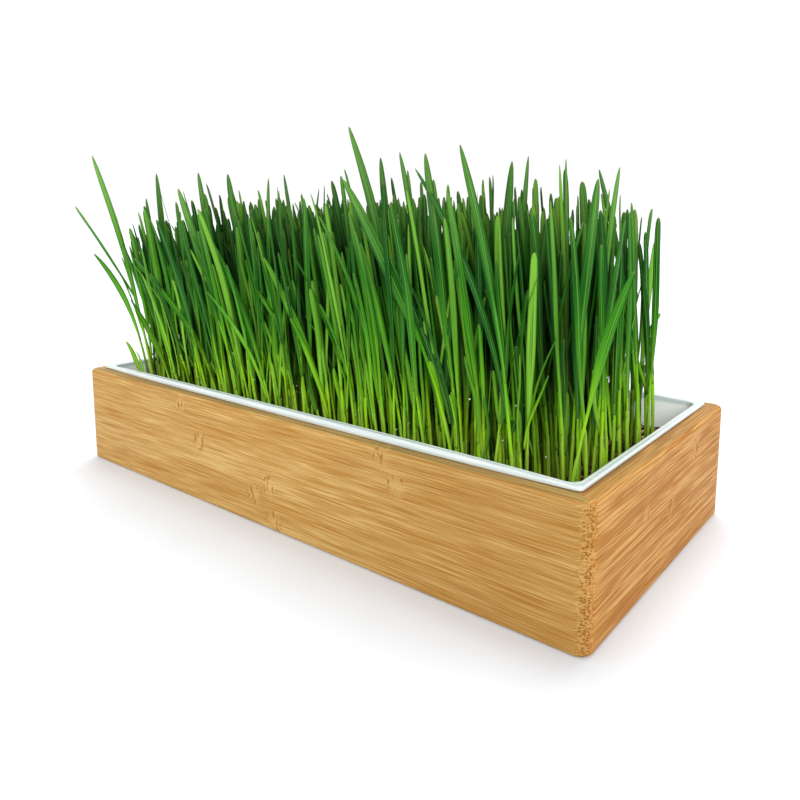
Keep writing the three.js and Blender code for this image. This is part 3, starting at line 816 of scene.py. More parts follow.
def liner():
    """The tray that hangs in the box by its rim."""
    foot = BOX_HEIGHT + CLEARANCE

    def ring(inset, radius, z):
        return inset_ring(inset, radius, z, LINER_CORNER_STEPS, LINER_SIDE_STEPS)

    rings = [ring(inset, LINER_CORNER_RADIUS, z) for inset, z in liner_levels(-LINER_WALL, foot)]
    for inset, rise, bow in RIM_SECTION:
        share = min(inset / (RIM_INNER_INSET - RIM_OUTER_INSET), 1)
        radius = RIM_OUTER_RADIUS + (LINER_CORNER_RADIUS - RIM_OUTER_RADIUS) * share
        rings.append(bowed(ring(RIM_OUTER_INSET + inset, radius, foot + rise), bow, RIM_LIFT * rise))
    rings += [ring(inset, LINER_CORNER_RADIUS, z) for inset, z in liner_levels(0, foot - RIM_TUCK)[::-1]]
    made = loft("liner", rings, glossy_white())
    sharpen(made, LINER_CREASE)
    return place(made, "liner_white", "liner_tray")


# Soil

def soil_material(name, pale):
    """Moist growing mix, with paler fibres and grit where it is dry."""
    graph = Graph(name)
    here = graph.here()
    grain = graph.noise(here, 0.9, 4.0, 0.7)
    speck = graph.spread(graph.cells(here, 0.45), 0.2, 0.1)
    graph.bump(grain + graph.cells(here, 0.7), 0.8, 0.7)
    # The ramp is near black in the hollows of the bump, a painted shade
    color = graph.mix(speck * pale, graph.ramp(grain, SOIL_COLORS), SOIL_FIBRE)
    return graph.finish(color, graph.spread(grain, 0.3, 0.7, 0.65, 0.95), SOIL_GLOSS)


def soil_height(x, y):
    """The top of the soil, crumbly and a little uneven."""
    relief = 0
    for share, seed, scale, build in SOIL_LAYERS:
        relief += share * noise.fractal(Vector((x, y, seed)) * scale, *build)
    return SOIL_TOP + SOIL_RELIEF * relief


def settle(across_x, across_y, inset):
    """A place from -1 to 1 each way, put on the rounded rectangle at this inset."""
    half_x = BOX_LENGTH / 2 - inset
    half_y = BOX_DEPTH / 2 - inset
    x, y = across_x * half_x, across_y * half_y
    straight_x = half_x - LINER_CORNER_RADIUS
    straight_y = half_y - LINER_CORNER_RADIUS
    past = Vector((abs(x) - straight_x, abs(y) - straight_y))
    if min(past) > 0 and past.length > LINER_CORNER_RADIUS:
        past = past.normalized() * LINER_CORNER_RADIUS
        x = math.copysign(straight_x + past.x, x)
        y = math.copysign(straight_y + past.y, y)
    return x, y


def soil():
    """The growing mix, filling the liner, with a crumbly top that is a grid."""
    columns = round(BOX_LENGTH / SOIL_GRID)
    rows = round(BOX_DEPTH / SOIL_GRID)
    edge = [(column, 0) for column in range(columns)] + [(columns, row) for row in range(rows)]
    edge += [(column, rows) for column in range(columns, 0, -1)] + [(0, row) for row in range(rows, 0, -1)]
    count = len(edge)

    def settled(column, row, inset):
        return settle(2 * column / columns - 1, 2 * row / rows - 1, inset)

    levels = liner_levels(CLEARANCE, SOIL_TOP - SOIL_EDGE)
    points = [(*settled(*place, inset), z) for inset, z in levels for place in edge]
    top = {}
    for column in range(columns + 1):
        for row in range(rows + 1):
            x, y = settled(column, row, liner_inset(SOIL_TOP) + CLEARANCE)
            top[column, row] = len(points)
            points.append((x, y, soil_height(x, y)))
    faces = [list(range(count))[::-1]]
    for level in range(len(levels)):
        for corner in range(count):
            after = (corner + 1) % count
            above = [(level + 1) * count + after, (level + 1) * count + corner]
            if level == len(levels) - 1:
                above = [top[edge[after]], top[edge[corner]]]
            faces.append([level * count + corner, level * count + after, *above])
    for column in range(columns):
        for row in range(rows):
            corners = [(column, row), (column + 1, row), (column + 1, row + 1), (column, row + 1)]
            faces.append([top[corner] for corner in corners])
    made = make_object("growing_mix", points, faces, soil_material("soil", pale=0.35))
    return place(made, "soil", "soil")


# Wheatgrass: the rule of the bed, the same one as the solids follow

def seeded_random(seed):
    """Numbers from 0 to 1, in an order that depends only on the seed."""
    state = seed
    whole = 0xFFFFFFFF

    def draw():
        nonlocal state
        state = (state + 0x6D2B79F5) & whole
        mixed = ((state ^ (state >> 15)) * (1 | state)) & whole
        mixed = ((mixed + (((mixed ^ (mixed >> 7)) * (61 | mixed)) & whole)) & whole) ^ mixed
        return (mixed ^ (mixed >> 14)) / 2 ** 32

    return draw


def between(limits, draw):
    return limits[0] + (limits[1] - limits[0]) * draw()


def drawn(ranges, draw):
    """A value drawn from each named range, in their order."""
    return {key: between(limits, draw) for key, limits in ranges.items()}


def lean_and_rise(early, arch, t):
    """How far a blade has leaned and risen at a share t of its height."""
    return early * t + (1 - early) * t * t, t + arch * t * (1 - t)


def blade_point(blade, t):
    """A blade's middle line at a share t of its height. The lean comes partly early, partly late."""
    lean, rise = lean_and_rise(blade["early"], blade["arch"], t)
    run = zip(blade["start"], blade["tip"], (lean, lean, rise))
    return tuple(start + (tip - start) * share for start, tip, share in run)


def track_of(blade):
    """Where a blade is at evenly spaced heights, and how wide: rows of x, y and half width."""
    knots = []
    for t, widen in blade["levels"]:
        half = (STEM_WIDTH + (blade["width"] - STEM_WIDTH) * widen) / 2 if t < 1 else 0
        knots.append((*blade_point(blade, t), half))
    x, y, z, half = np.transpose(knots)
    return np.array([np.interp(TRACK_HEIGHTS, z, row, right=np.nan) for row in (x, y, half)])


def clearance(track, others):
    """The least distance from a blade to each of the others, less what their widths take up."""
    ax = track[0] - others[:, 0]
    ay = track[1] - others[:, 1]
    room = track[2] + others[:, 2]
    bx = ax[:, 1:] - ax[:, :-1]
    by = ay[:, 1:] - ay[:, :-1]
    length = bx * bx + by * by
    with np.errstate(invalid="ignore", divide="ignore"):
        share = np.where(length > 0, -(ax[:, :-1] * bx + ay[:, :-1] * by) / length, 0)
    share = np.clip(share, 0, 1)
    distance = np.hypot(ax, ay)
    along = np.hypot(ax[:, :-1] + bx * share, ay[:, :-1] + by * share)
    distance[:, :-1] = np.where(np.isnan(along), distance[:, :-1], along)
    return np.nanmin(distance - room, axis=1)


def clears_liner(track):
    """Low in the tray a blade keeps off the liner's walls."""
    low = (TRACK_HEIGHTS <= RIM_TOP + TRACK_STEP) & ~np.isnan(track[0])
    x, y, half = track[:, low]
    inset = liner_inset(np.minimum(TRACK_HEIGHTS[low], RIM_TOP)) + half + BLADE_GAP
    return np.all((abs(x) < BOX_LENGTH / 2 - inset) & (abs(y) < BOX_DEPTH / 2 - inset))


def try_blade(x, y, spread, draw):
    """One try at a blade of the bed."""
    along = x / BED_HALF_LENGTH
    across = y / BED_HALF_DEPTH
    lean = LEAN["base"] + LEAN["slope"] * along
    extra = CANOPY["tall_extra"] if draw() < CANOPY["tall_share"] else 0
    canopy = CANOPY["height"] + CANOPY["tilt"] * along - CANOPY["droop"] * along ** 4
    height = canopy + extra + CANOPY["variation"] * (draw() - 0.5)

    def wander():
        return (draw() + draw() + draw() - 1.5) * spread

    lean_x = LEAN["along_x"] * lean + wander()
    lean_y = LEAN["along_y"] * lean + LEAN["outward"] * across + LEAN["wander_y"] * wander()
    return dict(
        start=(x, y, SOIL_TOP),
        tip=(x + lean_x * height, y + lean_y * height, SOIL_TOP + height),
        arch=0,
        levels=BED_LEVELS,
        **drawn(BED_BLADE, draw),
    )


class Bed:
    """The blades planted so far, and the room that each takes up."""

    def __init__(self):
        self.blades = []
        self.tracks = np.full((MOST_BLADES, 3, TRACK_COUNT), np.nan)

    def plant(self, blade, track):
        self.tracks[len(self.blades)] = track
        self.blades.append(blade)

    def is_clear(self, track, gap, thin=1.0):
        room = self.tracks[:len(self.blades)].copy()
        room[:, 2] *= thin
        slim = track.copy()
        slim[2] *= thin
        return np.all(clearance(slim, room) > gap)


def lattice(draw, shift=0.0):
    """Places for blades in staggered rows, each moved a little at random."""
    rows = math.ceil(BED_HALF_DEPTH / ROW_PITCH)
    columns = math.ceil(BED_HALF_LENGTH / PITCH)
    for row in range(-rows, rows + 1):
        for column in range(-columns, columns + 1):
            jitter_x = (draw() - 0.5) * JITTER_SHARE
            jitter_y = (draw() - 0.5) * JITTER_SHARE
            free = (column + jitter_x + math.fmod(row, 2) / 2 + shift) * PITCH
            x = math.copysign(PARTING, free) if abs(free) < PARTING else free
            y = (row + jitter_y + shift) * ROW_PITCH
            edge = abs(x / BED_HALF_LENGTH) ** BED_POWER + abs(y / BED_HALF_DEPTH) ** BED_POWER
            if edge < 1:
                yield x, y


def plant_leading(bed, draw):
    """The blades that stand out of the bed. Returns the leaves that fork off them."""
    forks = []
    for lead in LEADING_BLADES:
        facing = drawn(LEADING_FACE, draw)
        root = lead["root"]
        blade = {**LEADING_BEND, **lead, **facing, "start": (*root, SOIL_TOP), "levels": LEADING_LEVELS}
        bed.plant(blade, track_of(blade))
        for fork in lead.get("forks", []):
            foot = blade_point(blade, fork["at"])
            forks.append({"arch": 0, **fork, **facing, "start": foot, "root": root, "levels": BED_LEVELS})
    return forks


def fits(blade, track):
    across, along = abs(blade["tip"][1]), blade["tip"][0]
    return clears_liner(track) and across < BOX_DEPTH / 2 and along < BED_HALF_LENGTH + STEM_WIDTH


def stays_in_bed(blade):
    """True if a blade that the solids lack stays within the bed's own outline, which is cut short at
    its far right corner."""
    x, y, z = blade["tip"]
    end = FILLER_END - FAR_CORNER_CUT * max(y, 0)
    return abs(y) < BOX_DEPTH / 2 - TIP_MARGIN and -BOX_LENGTH / 2 < x < end and z < FILLER_TOP


def plant_bed(bed, draw):
    """The blades that the solids have, on a lattice."""
    for x, y in lattice(draw):
        for attempt in range(TRIES):
            blade = try_blade(x, y, TRY_SPREAD + TRY_GROWTH * attempt, draw)
            track = track_of(blade)
            if fits(blade, track) and bed.is_clear(track, BLADE_GAP):
                bed.plant(blade, track)
                break


def plant_fillers(bed, draw, shift, heights):
    """Shorter, narrower seedlings between them, which may all but touch, and which thin out towards
    the +X end of the tray."""
    for x, y in lattice(draw, shift):
        if draw() < smoothstep(x, *SPARSE_END) * SPARSE_SHARE:
            continue
        for attempt in range(FILLER_TRIES):
            blade = try_blade(x, y, FILLER_SPREAD + TRY_GROWTH * attempt, draw)
            start, tip = Vector(blade["start"]), Vector(blade["tip"])
            blade["tip"] = tuple(start.lerp(tip, between(heights, draw)))
            blade["width"] *= between(FILLER_WIDTH, draw)
            track = track_of(blade)
            if not fits(blade, track) or not stays_in_bed(blade):
                continue
            if bed.is_clear(track, FILLER_GAP, FILLER_THIN):
                bed.plant(blade, track)
                break


def grow_bed():
    """The blades of the solids, then seedlings between them. Returns blades, forks and grains."""
    draw = seeded_random(SEED)
    for _ in range(MAT_POINTS):
        draw()
    bed = Bed()
    forks = plant_leading(bed, draw)
    plant_bed(bed, draw)
    grains = solid_grains(bed.blades, draw)
    draw = seeded_random(FILLER_SEED)
    for order, heights in enumerate(FILLER_PASSES):
        plant_fillers(bed, draw, (order + 1) / (len(FILLER_PASSES) + 1), heights)
    return bed.blades, forks, grains


# Wheatgrass: stems, sheaths and leaves as meshes

class Shoots:
    """The middle lines of many blades at once, as arrays."""

    def __init__(self, blades):
        for key in ("early", "arch", "width", "face", "twist", "slim", "fold", "blunt"):
            setattr(self, key, np.array([blade[key] for blade in blades], float)[:, None])
        for key in ("start", "tip", "tone", "sway"):
            setattr(self, key, np.array([blade[key] for blade in blades], float))

    def line(self, t):
        """Points at shares t of the height, an array of one row for each blade."""
        lean, rise = lean_and_rise(self.early, self.arch, t)
        run = (self.tip - self.start)[:, None, :]
        points = self.start[:, None, :] + run * np.stack([lean, lean, rise], axis=-1)
        wave = np.sin(np.pi * t) * np.sin(2 * np.pi * (t + self.sway[:, :1]))
        points[..., 0] += wave * self.sway[:, 1:2]
        points[..., 1] += wave * self.sway[:, 2:3]
        return points

    def frames(self, t):
        """Middle line, and the directions across and out of the blade's face."""
        points = self.line(t)
        ahead = self.line(t + LINE_STEP) - self.line(t - LINE_STEP)
        ahead /= np.linalg.norm(ahead, axis=-1, keepdims=True)
        face = self.face + self.twist * t
        side = np.stack([np.cos(face), np.sin(face), 0 * face], axis=-1)
        side -= ahead * np.sum(side * ahead, axis=-1, keepdims=True)
        side /= np.linalg.norm(side, axis=-1, keepdims=True)
        return points, side, np.cross(ahead, side)


class MeshParts:
    """Gathers closed bodies, each a stack of rings, with values for the shader at each point."""

    def __init__(self):
        self.points, self.faces, self.values, self.creases = [], [], [], []
        self.offset = 0

    def add_rings(self, rings, along, across, tone, kind):
        """rings has the shape (bodies, levels, corners, 3), and along one value for each level."""
        bodies, levels, corners, _ = rings.shape
        faces = ring_faces(bodies, levels, corners)
        self.faces += [[self.offset + corner for corner in face] for face in faces]
        self.points.append(rings.reshape(-1, 3))
        shape = (bodies, levels, corners)
        x, y, z = np.moveaxis(rings, -1, 0)
        rise = (z - SOIL_TOP) / FULL_RISE
        depth = np.minimum(BED_HALF_LENGTH - abs(x), BED_HALF_DEPTH - abs(y))
        # A painted shade that darkens the bed inward and halfway up, where less light gets in
        crowded = smoothstep(depth * np.interp(x, OPEN_END, CROWDING), *DEEP_IN_BED)
        painted_bed_shade = crowded * smoothstep(rise, *TOP_SHADE) * smoothstep(rise, *FOOT_SHADE)
        fields = [rise, across, tone[:, None, None], kind, painted_bed_shade, along[None, :, None]]
        self.values.append(np.stack([np.broadcast_to(field, shape).ravel() for field in fields]))
        creased = np.isin(np.arange(corners), SECTION_CREASES) & (kind == LEAF_KIND)
        self.creases.append(np.broadcast_to(creased, shape).reshape(-1))
        self.offset += bodies * levels * corners


def smoothstep(value, low, high, first=0, last=1):
    """A value that goes from first to last as another goes from low to high, eased at both ends."""
    share = np.clip((value - low) / (high - low), 0, 1)
    return first + (last - first) * share * share * (3 - 2 * share)


def add_ribbons(parts, shoots, shares, t, width, curl, fold, opened, thick, kind):
    """Leaves or sheaths. Where opened is 0 the band wraps the line in an arc of angle curl, and where
    it is 1 the line runs along its keel and the two halves rise from it by the angle fold."""
    points, side, out = shoots.frames(t)
    width, curl, fold, opened, thick = (field[..., None] for field in (width, curl, fold, opened, thick))
    radius = width / curl
    angle = SECTION_ACROSS * curl / 2
    reach = radius - SECTION_INNER * thick
    half = SECTION_ACROSS * width / 2
    across = (1 - opened) * reach * np.sin(angle) + opened * half * np.cos(fold)
    rise = abs(half) * np.sin(fold) + SECTION_INNER * thick
    depth = opened * rise - (1 - opened) * reach * np.cos(angle)
    rings = points[..., None, :] + side[..., None, :] * across[..., None]
    rings = rings + out[..., None, :] * depth[..., None]
    parts.add_rings(rings, shares, SECTION_ACROSS, shoots.tone, kind)


def add_leaves(parts, shoots, base):
    """Leaves from the share base of their line: rolled round the stem, then opening to the blade."""
    q = LEAF_SHARES[None, :]
    t = base[:, None] + (1 - base[:, None]) * q
    opened = smoothstep(q, *LEAF_UNROLLS) + 0 * t
    tip = np.clip((q - LEAF_TAPERS) / (1 - LEAF_TAPERS), 0, 1)
    taper = (1 - LEAF_TAPER * tip) * (1 - tip ** shoots.blunt) ** 0.5
    wide = shoots.width * smoothstep(q, *LEAF_WIDENS) * taper
    rolled = ROLLED_WIDTH * STEM_WIDTH * shoots.slim
    width = np.maximum(rolled * (1 - opened) + wide * opened, LEAST_WIDTH)
    curl = np.radians(np.interp(opened, (0, 1), LEAF_CURL))
    fold = np.radians(shoots.fold * (1 - FLATTENS * q))
    thick = np.minimum(LEAF_THICKNESS * (1 - LEAF_THINS * q), width / 4)
    add_ribbons(parts, shoots, LEAF_SHARES, t, width, curl, fold, opened, thick, LEAF_KIND)


def add_stems(parts, shoots, top):
    """Round stems up to the share top of their line."""
    points, side, out = shoots.frames(STEM_SHARES[None, :] * top[:, None])
    radius = (shoots.slim * STEM_WIDTH / 2 * (1 - STEM_TAPER * np.clip(STEM_SHARES, 0, 1)))[..., None]
    angle = np.arange(STEM_CORNERS) / STEM_CORNERS * 2 * np.pi
    across = (radius * np.cos(angle))[..., None]
    depth = (radius * np.sin(angle))[..., None]
    rings = points[..., None, :] + side[..., None, :] * across + out[..., None, :] * depth
    parts.add_rings(rings, STEM_SHARES, np.full(STEM_CORNERS, 0.5), shoots.tone, STEM_KIND)


def add_sheaths(parts, shoots, top):
    """The pale sheath round the foot of each stem, with a slit and a pointed end."""
    q = SHEATH_SHARES[None, :]
    t = q * top[:, None]
    radius = shoots.slim * STEM_WIDTH / 2 + np.interp(q, (0, 1), SHEATH_ROOM)
    curl = np.radians(smoothstep(q, *SHEATH_CURL)) + 0 * t
    thick = np.full_like(t, SHEATH_THICKNESS)
    add_ribbons(parts, shoots, SHEATH_SHARES, t, radius * curl, curl, 0 * t, 0 * t, thick, SHEATH_KIND)


def second_leaf(blade, draw):
    """A narrower leaf that leaves the same stem and leans its own way."""
    start, tip = np.array(blade["start"]), np.array(blade["tip"])
    length = between(SECOND_LENGTH, draw)
    turn = 2 * math.pi * draw()
    away = between(SECOND_ASIDE, draw) * (tip[2] - SOIL_TOP)
    aside = away * np.array([math.cos(turn), SECOND_ACROSS * math.sin(turn), 0])
    return dict(
        blade,
        tip=start + (tip - start) * length + aside,
        width=between(SECOND_WIDTH, draw),
        early=between(SECOND_EARLY, draw),
        face=blade["face"] + SECOND_TURN,
        tone=draw(),
    )


def crease_leaves(made, creased):
    """Sharp edges along the midrib and the margins of the leaves, where points that follow each other
    are as many apart as a section has."""
    edges = np.zeros(len(made.data.edges) * 2, np.int32)
    made.data.edges.foreach_get("vertices", edges)
    edges = edges.reshape(-1, 2)
    lengthwise = abs(edges[:, 0] - edges[:, 1]) == len(SECTION_ACROSS)
    sharp = made.data.attributes.new("sharp_edge", "BOOLEAN", "EDGE")
    sharp.data.foreach_set("value", lengthwise & creased[edges[:, 0]] & creased[edges[:, 1]])


def grass_material():
    """Yellow-green stems that turn to deep green leaves, each of its own green, with veins, a paler midrib
    that is partly a painted highlight and edges darkened by painted shade. Deep in the bed little light
    gets in, and a painted shade makes the green nearly black."""
    graph = Graph("wheatgrass")
    rise, across, tone, kind, painted_bed_shade, along = (graph.attribute(label) for label in POINT_FIELDS)
    x, y, z = graph.place()
    blotch = graph.noise(graph.vector(x, y, z * 0.25), 0.12)
    veins = graph.noise(graph.vector(across * 3.5, tone * 300.0, along * 1.5))
    leaf = graph.math("GREATER_THAN", kind, (SHEATH_KIND + LEAF_KIND) / 2)
    sheath = graph.math("COMPARE", kind, SHEATH_KIND, 0.1)
    dry_blade = graph.spread(tone, 0.99, 0.995, 0.0, 0.3)
    dry = graph.math("MAXIMUM", dry_blade, graph.spread(along, 0.97, 1.0, 0.0, 0.35))
    color = graph.coats(
        # Paler and greyer at the top, partly a painted sheen
        graph.ramp(rise + (blotch - 0.5) * 0.3, GRASS_COLORS),
        (graph.spread(tone, 0.6, 0.95, 0.0, 0.9) * leaf, GRASS_LIME),
        (graph.spread(tone, 0.6, 0.0, 0.0, 0.95) * leaf, GRASS_DEEP),
        (graph.spread(veins, 0.5, 0.7, 0.0, 0.5), GRASS_PALE_VEIN),
        (graph.spread(veins, 0.5, 0.3, 0.0, 0.6), GRASS_DARK_VEIN),
        # A paler midrib, partly a painted highlight along the leaf's crease
        (graph.spread(abs(across), 0.12, 0.02, 0.0, 0.4) * leaf, GRASS_MIDRIB_AND_HIGHLIGHT),
        # Painted shade along the leaves' margins, for the dark gaps between blades
        (graph.spread(abs(across), 0.62, 1.0, 0.0, 0.7) * leaf, GRASS_EDGE_PAINTED_SHADE),
        (graph.spread(along, 0.2, 1.0, 0.1, 0.45) * sheath, GRASS_SHEATH),
        (dry * leaf, GRASS_DRY),
        # Painted shade deep in the bed, where little light gets in
        (painted_bed_shade * 0.95, GRASS_GLOOM))
    graph.bump(veins * leaf, 0.12, 0.5)
    glow = graph.add("ShaderNodeBsdfTranslucent", {"Color": color})
    shaders = {0: GRASS_GLOW, 1: graph.shader.outputs[0], 2: glow.outputs[0]}
    both = graph.add("ShaderNodeMixShader", shaders)
    graph.feed(graph.tree.nodes["Material Output"].inputs["Surface"], both.outputs[0])
    return graph.finish(color, graph.spread(blotch, 0.3, 0.7, 0.36, 0.5), GRASS_GLOSS)


def clump(name, blades, forks, draw, material, node):
    """Part of the bed as one piece: every stem, sheath and leaf that is rooted there."""
    parts = MeshParts()
    for blade in [*blades, *forks]:
        leading = blade["levels"] is LEADING_LEVELS
        blade["tone"] = between(CALM_TONE if leading else ANY_TONE, draw)
        blade["sway"] = (draw(), SWAY * (draw() - 0.5), SWAY * (draw() - 0.5))
        blade["fold"] = between(FOLD, draw)
        blade["slim"] = between(SLIM, draw)
        blade["blunt"] = between(SHARP_TIP if leading else BLUNT_TIP, draw)
    shoots = Shoots(blades)
    base = np.array([between(LEAF_START, draw) for _ in blades])
    add_stems(parts, shoots, base + STEM_OVERLAP)
    add_sheaths(parts, shoots, np.array([between(SHEATH_END, draw) for _ in blades]))
    add_leaves(parts, shoots, base)
    seconds = [second_leaf(blade, draw) for blade in blades if draw() < SECOND_LEAVES]
    seconds = [leaf for leaf in seconds if stays_in_bed(leaf)]
    if seconds:
        add_leaves(parts, Shoots(seconds), np.array([between(SECOND_START, draw) for _ in seconds]))
    if forks:
        add_leaves(parts, Shoots(forks), np.zeros(len(forks)))
    made = make_object(name, np.clip(np.concatenate(parts.points), *LIMITS), parts.faces, material)
    crease_leaves(made, np.concatenate(parts.creases))
    for label, values in zip(POINT_FIELDS, np.concatenate(parts.values, axis=1)):
        add_attribute(made, label, values)
    return place(made, "wheatgrass", node)


def wheatgrass():
    """The bed in pieces, then the litter and the drops among its stems."""
    blades, forks, grains = grow_bed()
    material = grass_material()
    draw = seeded_random(SEED + 1)
    for side, sign in [("left", -1), ("right", 1)]:
        for part in range(CLUMP_COUNT):
            here = [blade for blade in blades if sign * blade["start"][0] // CLUMP_LENGTH == part]
            branches = [fork for fork in forks if sign * fork["root"][0] // CLUMP_LENGTH == part]
            clump(f"grass_{side}_{part + 1}", here, branches, draw, material, f"wheatgrass_{side}")
    litter(grains)
    dew(blades)


# Grains, crumbs, root hairs and dew

def solid_grains(blades, draw):
    """Where grains lie round the edge of the mat, clear of one another and of the stems: x, y, turn."""
    taken = [(blade["start"][0], blade["start"][1], STEM_WIDTH / 2) for blade in blades]
    grains = []
    for _ in range(GRAIN_TRIES):
        if len(grains) == GRAIN_COUNT:
            break
        angle = 2 * math.pi * draw()
        reach = between(GRAIN_BAND, draw)
        power = 2 / BED_POWER
        x = reach * BED_HALF_LENGTH * math.copysign(abs(math.cos(angle)) ** power, math.cos(angle))
        y = reach * BED_HALF_DEPTH * math.copysign(abs(math.sin(angle)) ** power, math.sin(angle))
        turn = math.pi * draw()
        room = GRAIN_LENGTH / 2 + GRAIN_GAP
        clear = all(math.hypot(place[0] - x, place[1] - y) > place[2] + room for place in taken)
        if clear and abs(x) > GRAIN_LENGTH:
            grains.append((x, y, turn))
            taken.append((x, y, GRAIN_LENGTH / 2))
    return grains


def litter_spots(count, shuffle):
    """Random places on the soil, more of them near the edge of the bed where stems are sparse."""
    spots = []
    while len(spots) < count:
        x = shuffle.uniform(-LITTER_HALF_LENGTH, LITTER_HALF_LENGTH)
        y = shuffle.uniform(-LITTER_HALF_DEPTH, LITTER_HALF_DEPTH)
        depth = min(LITTER_HALF_LENGTH - abs(x), LITTER_HALF_DEPTH - abs(y)) / LITTER_HALF_DEPTH
        if shuffle.random() > math.sqrt(depth):
            spots.append((x, y))
    return spots


def lumps(spots, sizes, heights, turns, shuffle, levels, corners, rough):
    """Closed lumpy bodies lying on the soil: sizes are half lengths along, across and up."""
    shape = (len(spots), levels, corners)
    draws = np.array([shuffle.random() for _ in range(math.prod(shape))]).reshape(shape)
    scale = 1 + rough * (draws - 0.5)
    slope = np.pi * (np.arange(levels)[:, None] + LUMP_END) / (levels - 1 + 2 * LUMP_END)
    angle = 2 * np.pi * np.arange(corners) / corners
    x, y, long, wide, tall, z, turn = np.column_stack([spots, sizes, heights, turns]).T[:, :, None, None]
    along = -long * np.cos(slope) * scale
    across = wide * np.sin(slope) * np.cos(angle) * scale
    x = x + along * np.cos(turn) - across * np.sin(turn)
    y = y + along * np.sin(turn) + across * np.cos(turn)
    z = z + tall * np.sin(slope) * np.sin(angle) * scale
    return np.stack([x, y, z], axis=-1)


def lumpy_piece(name, rings, tones, material, slot):
    """Many small bodies as one piece, each with a tone of its own."""
    parts = MeshParts()
    parts.add_rings(rings, np.zeros(rings.shape[1]), np.zeros(rings.shape[2]), tones, STEM_KIND)
    made = make_object(name, np.concatenate(parts.points), parts.faces, material)
    add_attribute(made, "tone", np.concatenate(parts.values, axis=1)[POINT_FIELDS.index("tone")])
    return place(made, slot)


def grain_material():
    """Tan wheat grains and husks, wrinkled, darker in patches, and darker in the hollows of the wrinkles
    as painted shade.
    """
    graph = Graph("grain")
    wrinkle = graph.noise(graph.here(), 1.2, 3.0)
    graph.bump(wrinkle, 0.3, 0.6)
    color = graph.ramp(graph.attribute("tone") * 0.6 + wrinkle * 0.5, GRAIN_COLORS)
    return graph.finish(color, graph.spread(wrinkle, 0.3, 0.7, 0.45, 0.7))


def hair_material():
    """Fine pale roots."""
    graph = Graph("root_hair")
    stain = graph.noise(graph.here(), 0.4)
    return graph.finish(graph.ramp(stain, ROOT_COLORS), graph.spread(stain, 0.3, 0.7, 0.5, 0.8))


def dew_material():
    """Water drops: clear, with a faint cloud in how smooth they are."""
    graph = Graph("dew")
    cloud = graph.noise(graph.here(), 0.5, 1.0)
    graph.shader.inputs["IOR"].default_value = 1.33
    graph.shader.inputs["Transmission Weight"].default_value = 0.6
    return graph.finish(graph.mix(cloud, *DEW_CLEARS), graph.spread(cloud, 0.3, 0.7, 0.0, 0.06))


def crumbs(shuffle):
    """Crumbs of growing mix."""
    spots = litter_spots(CRUMB_COUNT, shuffle)
    sizes = []
    for _ in spots:
        size = CRUMB_SIZE[0] + (CRUMB_SIZE[1] - CRUMB_SIZE[0]) * shuffle.random() ** 2
        sizes.append((size, *(size * shuffle.uniform(*shares) for shares in CRUMB_SHARES)))
    heights = [soil_height(x, y) + size[2] * CRUMB_LIFT for (x, y), size in zip(spots, sizes)]
    turns = [shuffle.uniform(0, math.pi) for _ in spots]
    tones = np.array([shuffle.random() for _ in spots])
    rings = lumps(spots, sizes, heights, turns, shuffle, levels=4, corners=6, rough=0.7)
    lumpy_piece("crumbs", rings, tones, soil_material("crumb", pale=0.5), "soil")


def husks(grains, shuffle):
    """The grains that the solids have, and the husks of the others."""
    spots = [(x, y) for x, y, _ in grains]
    turns = [turn for _, _, turn in grains]
    sizes = [(GRAIN_LENGTH / 2, GRAIN_WIDTH / 2, GRAIN_WIDTH / 2)] * len(grains)
    for spot in litter_spots(HUSK_COUNT, shuffle):
        spots.append(spot)
        turns.append(shuffle.uniform(0, math.pi))
        sizes.append([shuffle.uniform(*limits) for limits in HUSK_SIZE])
    heights = [max(soil_height(x, y), SOIL_TOP) + GRAIN_RISE for x, y in spots]
    tones = np.array([shuffle.random() for _ in spots])
    rings = lumps(spots, sizes, heights, turns, shuffle, levels=7, corners=8, rough=0.15)
    lumpy_piece("grains", rings, tones, grain_material(), "soil")


def root_hair(x, y, shuffle):
    """The rings of one fine root that arches over the soil."""
    turn = shuffle.uniform(0, 2 * math.pi)
    bend, length, lift, radius = (shuffle.uniform(*limits) for limits in HAIR_SHAPE)
    share = np.linspace(0, 1, HAIR_LEVELS)[:, None]
    heading = turn + bend * share
    angle = 2 * np.pi * np.arange(HAIR_CORNERS) / HAIR_CORNERS
    side = radius * np.cos(angle)
    ring_x = x + length * share * np.cos(heading) - side * np.sin(heading)
    ring_y = y + length * share * np.sin(heading) + side * np.cos(heading)
    ring_z = soil_height(x, y) - radius + lift * np.sin(np.pi * share) + radius * np.sin(angle)
    return np.stack([ring_x, ring_y, ring_z], axis=-1)


def litter(grains):
    """Everything that lies loose on the soil."""
    shuffle = random.Random(LITTER_SEED)
    crumbs(shuffle)
    husks(grains, shuffle)
    rings = np.array([root_hair(x, y, shuffle) for x, y in litter_spots(HAIR_COUNT, shuffle)])
    lumpy_piece("root_hairs", rings, np.zeros(HAIR_COUNT), hair_material(), "soil")


def dew(blades):
    """Small drops that hang on the stems."""
    shuffle = random.Random(LITTER_SEED + 1)
    drops = []
    for blade in shuffle.sample(blades, DEW_COUNT):
        x, y, z = blade_point(blade, shuffle.uniform(*DEW_PLACE))
        size = shuffle.uniform(*DEW_SIZE)
        turn = shuffle.uniform(0, 2 * math.pi)
        reach = STEM_WIDTH / 2 * DEW_STEM + size / 2
        spot = (x + reach * math.cos(turn), y + reach * math.sin(turn))
        drops.append(lumps([spot], [[size] * 3], [z], [turn], shuffle, levels=5, corners=6, rough=0))
    lumpy_piece("dew", np.concatenate(drops), np.zeros(DEW_COUNT), dew_material(), "wheatgrass")


# Stage

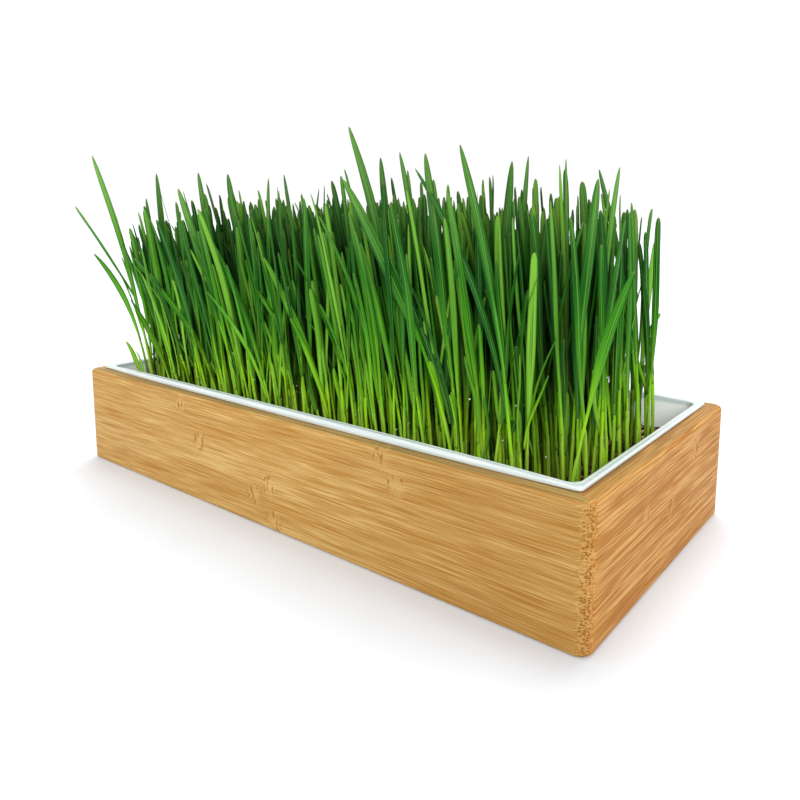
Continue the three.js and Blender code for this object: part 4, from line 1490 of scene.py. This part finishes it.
def camera():
    """The photograph's own point of view."""
    data = bpy.data.cameras.new("camera")
    data.sensor_width = SENSOR_WIDTH
    data.lens = FOCAL_LENGTH_PIXELS / FRAME_PIXELS * SENSOR_WIDTH
    data.shift_y = (AXIS_ROW - FRAME_PIXELS / 2) / FRAME_PIXELS
    data.clip_start = NEAREST_M
    made = bpy.data.objects.new("camera", data)
    made.location = [value * MM for value in CAMERA_PLACE]
    made.rotation_euler = (math.radians(90 - CAMERA_PITCH), 0, math.radians(CAMERA_YAW))
    bpy.context.scene.collection.objects.link(made)
    bpy.context.scene.camera = made


def studio():
    """A white surround and large soft lights far away."""
    world = bpy.data.worlds.new("studio")
    world.use_nodes = True
    background = world.node_tree.nodes["Background"]
    background.inputs["Color"].default_value = (1, 1, 1, 1)
    background.inputs["Strength"].default_value = WORLD_STRENGTH
    bpy.context.scene.world = world
    bpy.context.scene.view_settings.view_transform = "Standard"
    for name, (towards, strength, width) in SUNS.items():
        data = bpy.data.lights.new(name, "SUN")
        data.energy = strength
        data.angle = math.radians(width)
        made = bpy.data.objects.new(name, data)
        made.rotation_euler = Vector(towards).to_track_quat("Z", "Y").to_euler()
        bpy.context.scene.collection.objects.link(made)


def floor():
    """A wide pale table top under the tray."""
    graph = Graph("floor")
    x, y, _ = graph.place()
    cloud = graph.noise(graph.vector(x, y, 0.0), 0.004)
    material = graph.finish(graph.mix(cloud, *FLOOR_GREYS), graph.spread(cloud, 0.3, 0.7, 0.7, 0.8))
    points = [(x * FLOOR_REACH, y * FLOOR_REACH, 0) for x, y in [(-1, -1), (1, -1), (1, 1), (-1, 1)]]
    made = make_object("floor", points, [[0, 1, 2, 3]], material)


camera()
studio()
floor()
for board_name, grain in BOARDS.items():
    half_across = BOX_DEPTH / 2 if grain["axis"] == "X" else BOX_LENGTH / 2
    board(board_name, bamboo(board_name.replace("board", "bamboo"), **grain, half_across=half_across))
base_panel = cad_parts["base_panel"]
base_panel.data.materials.clear()
base_panel.data.materials.append(bamboo("base_bamboo", **BASE_GRAIN))
liner()
soil()
wheatgrass()
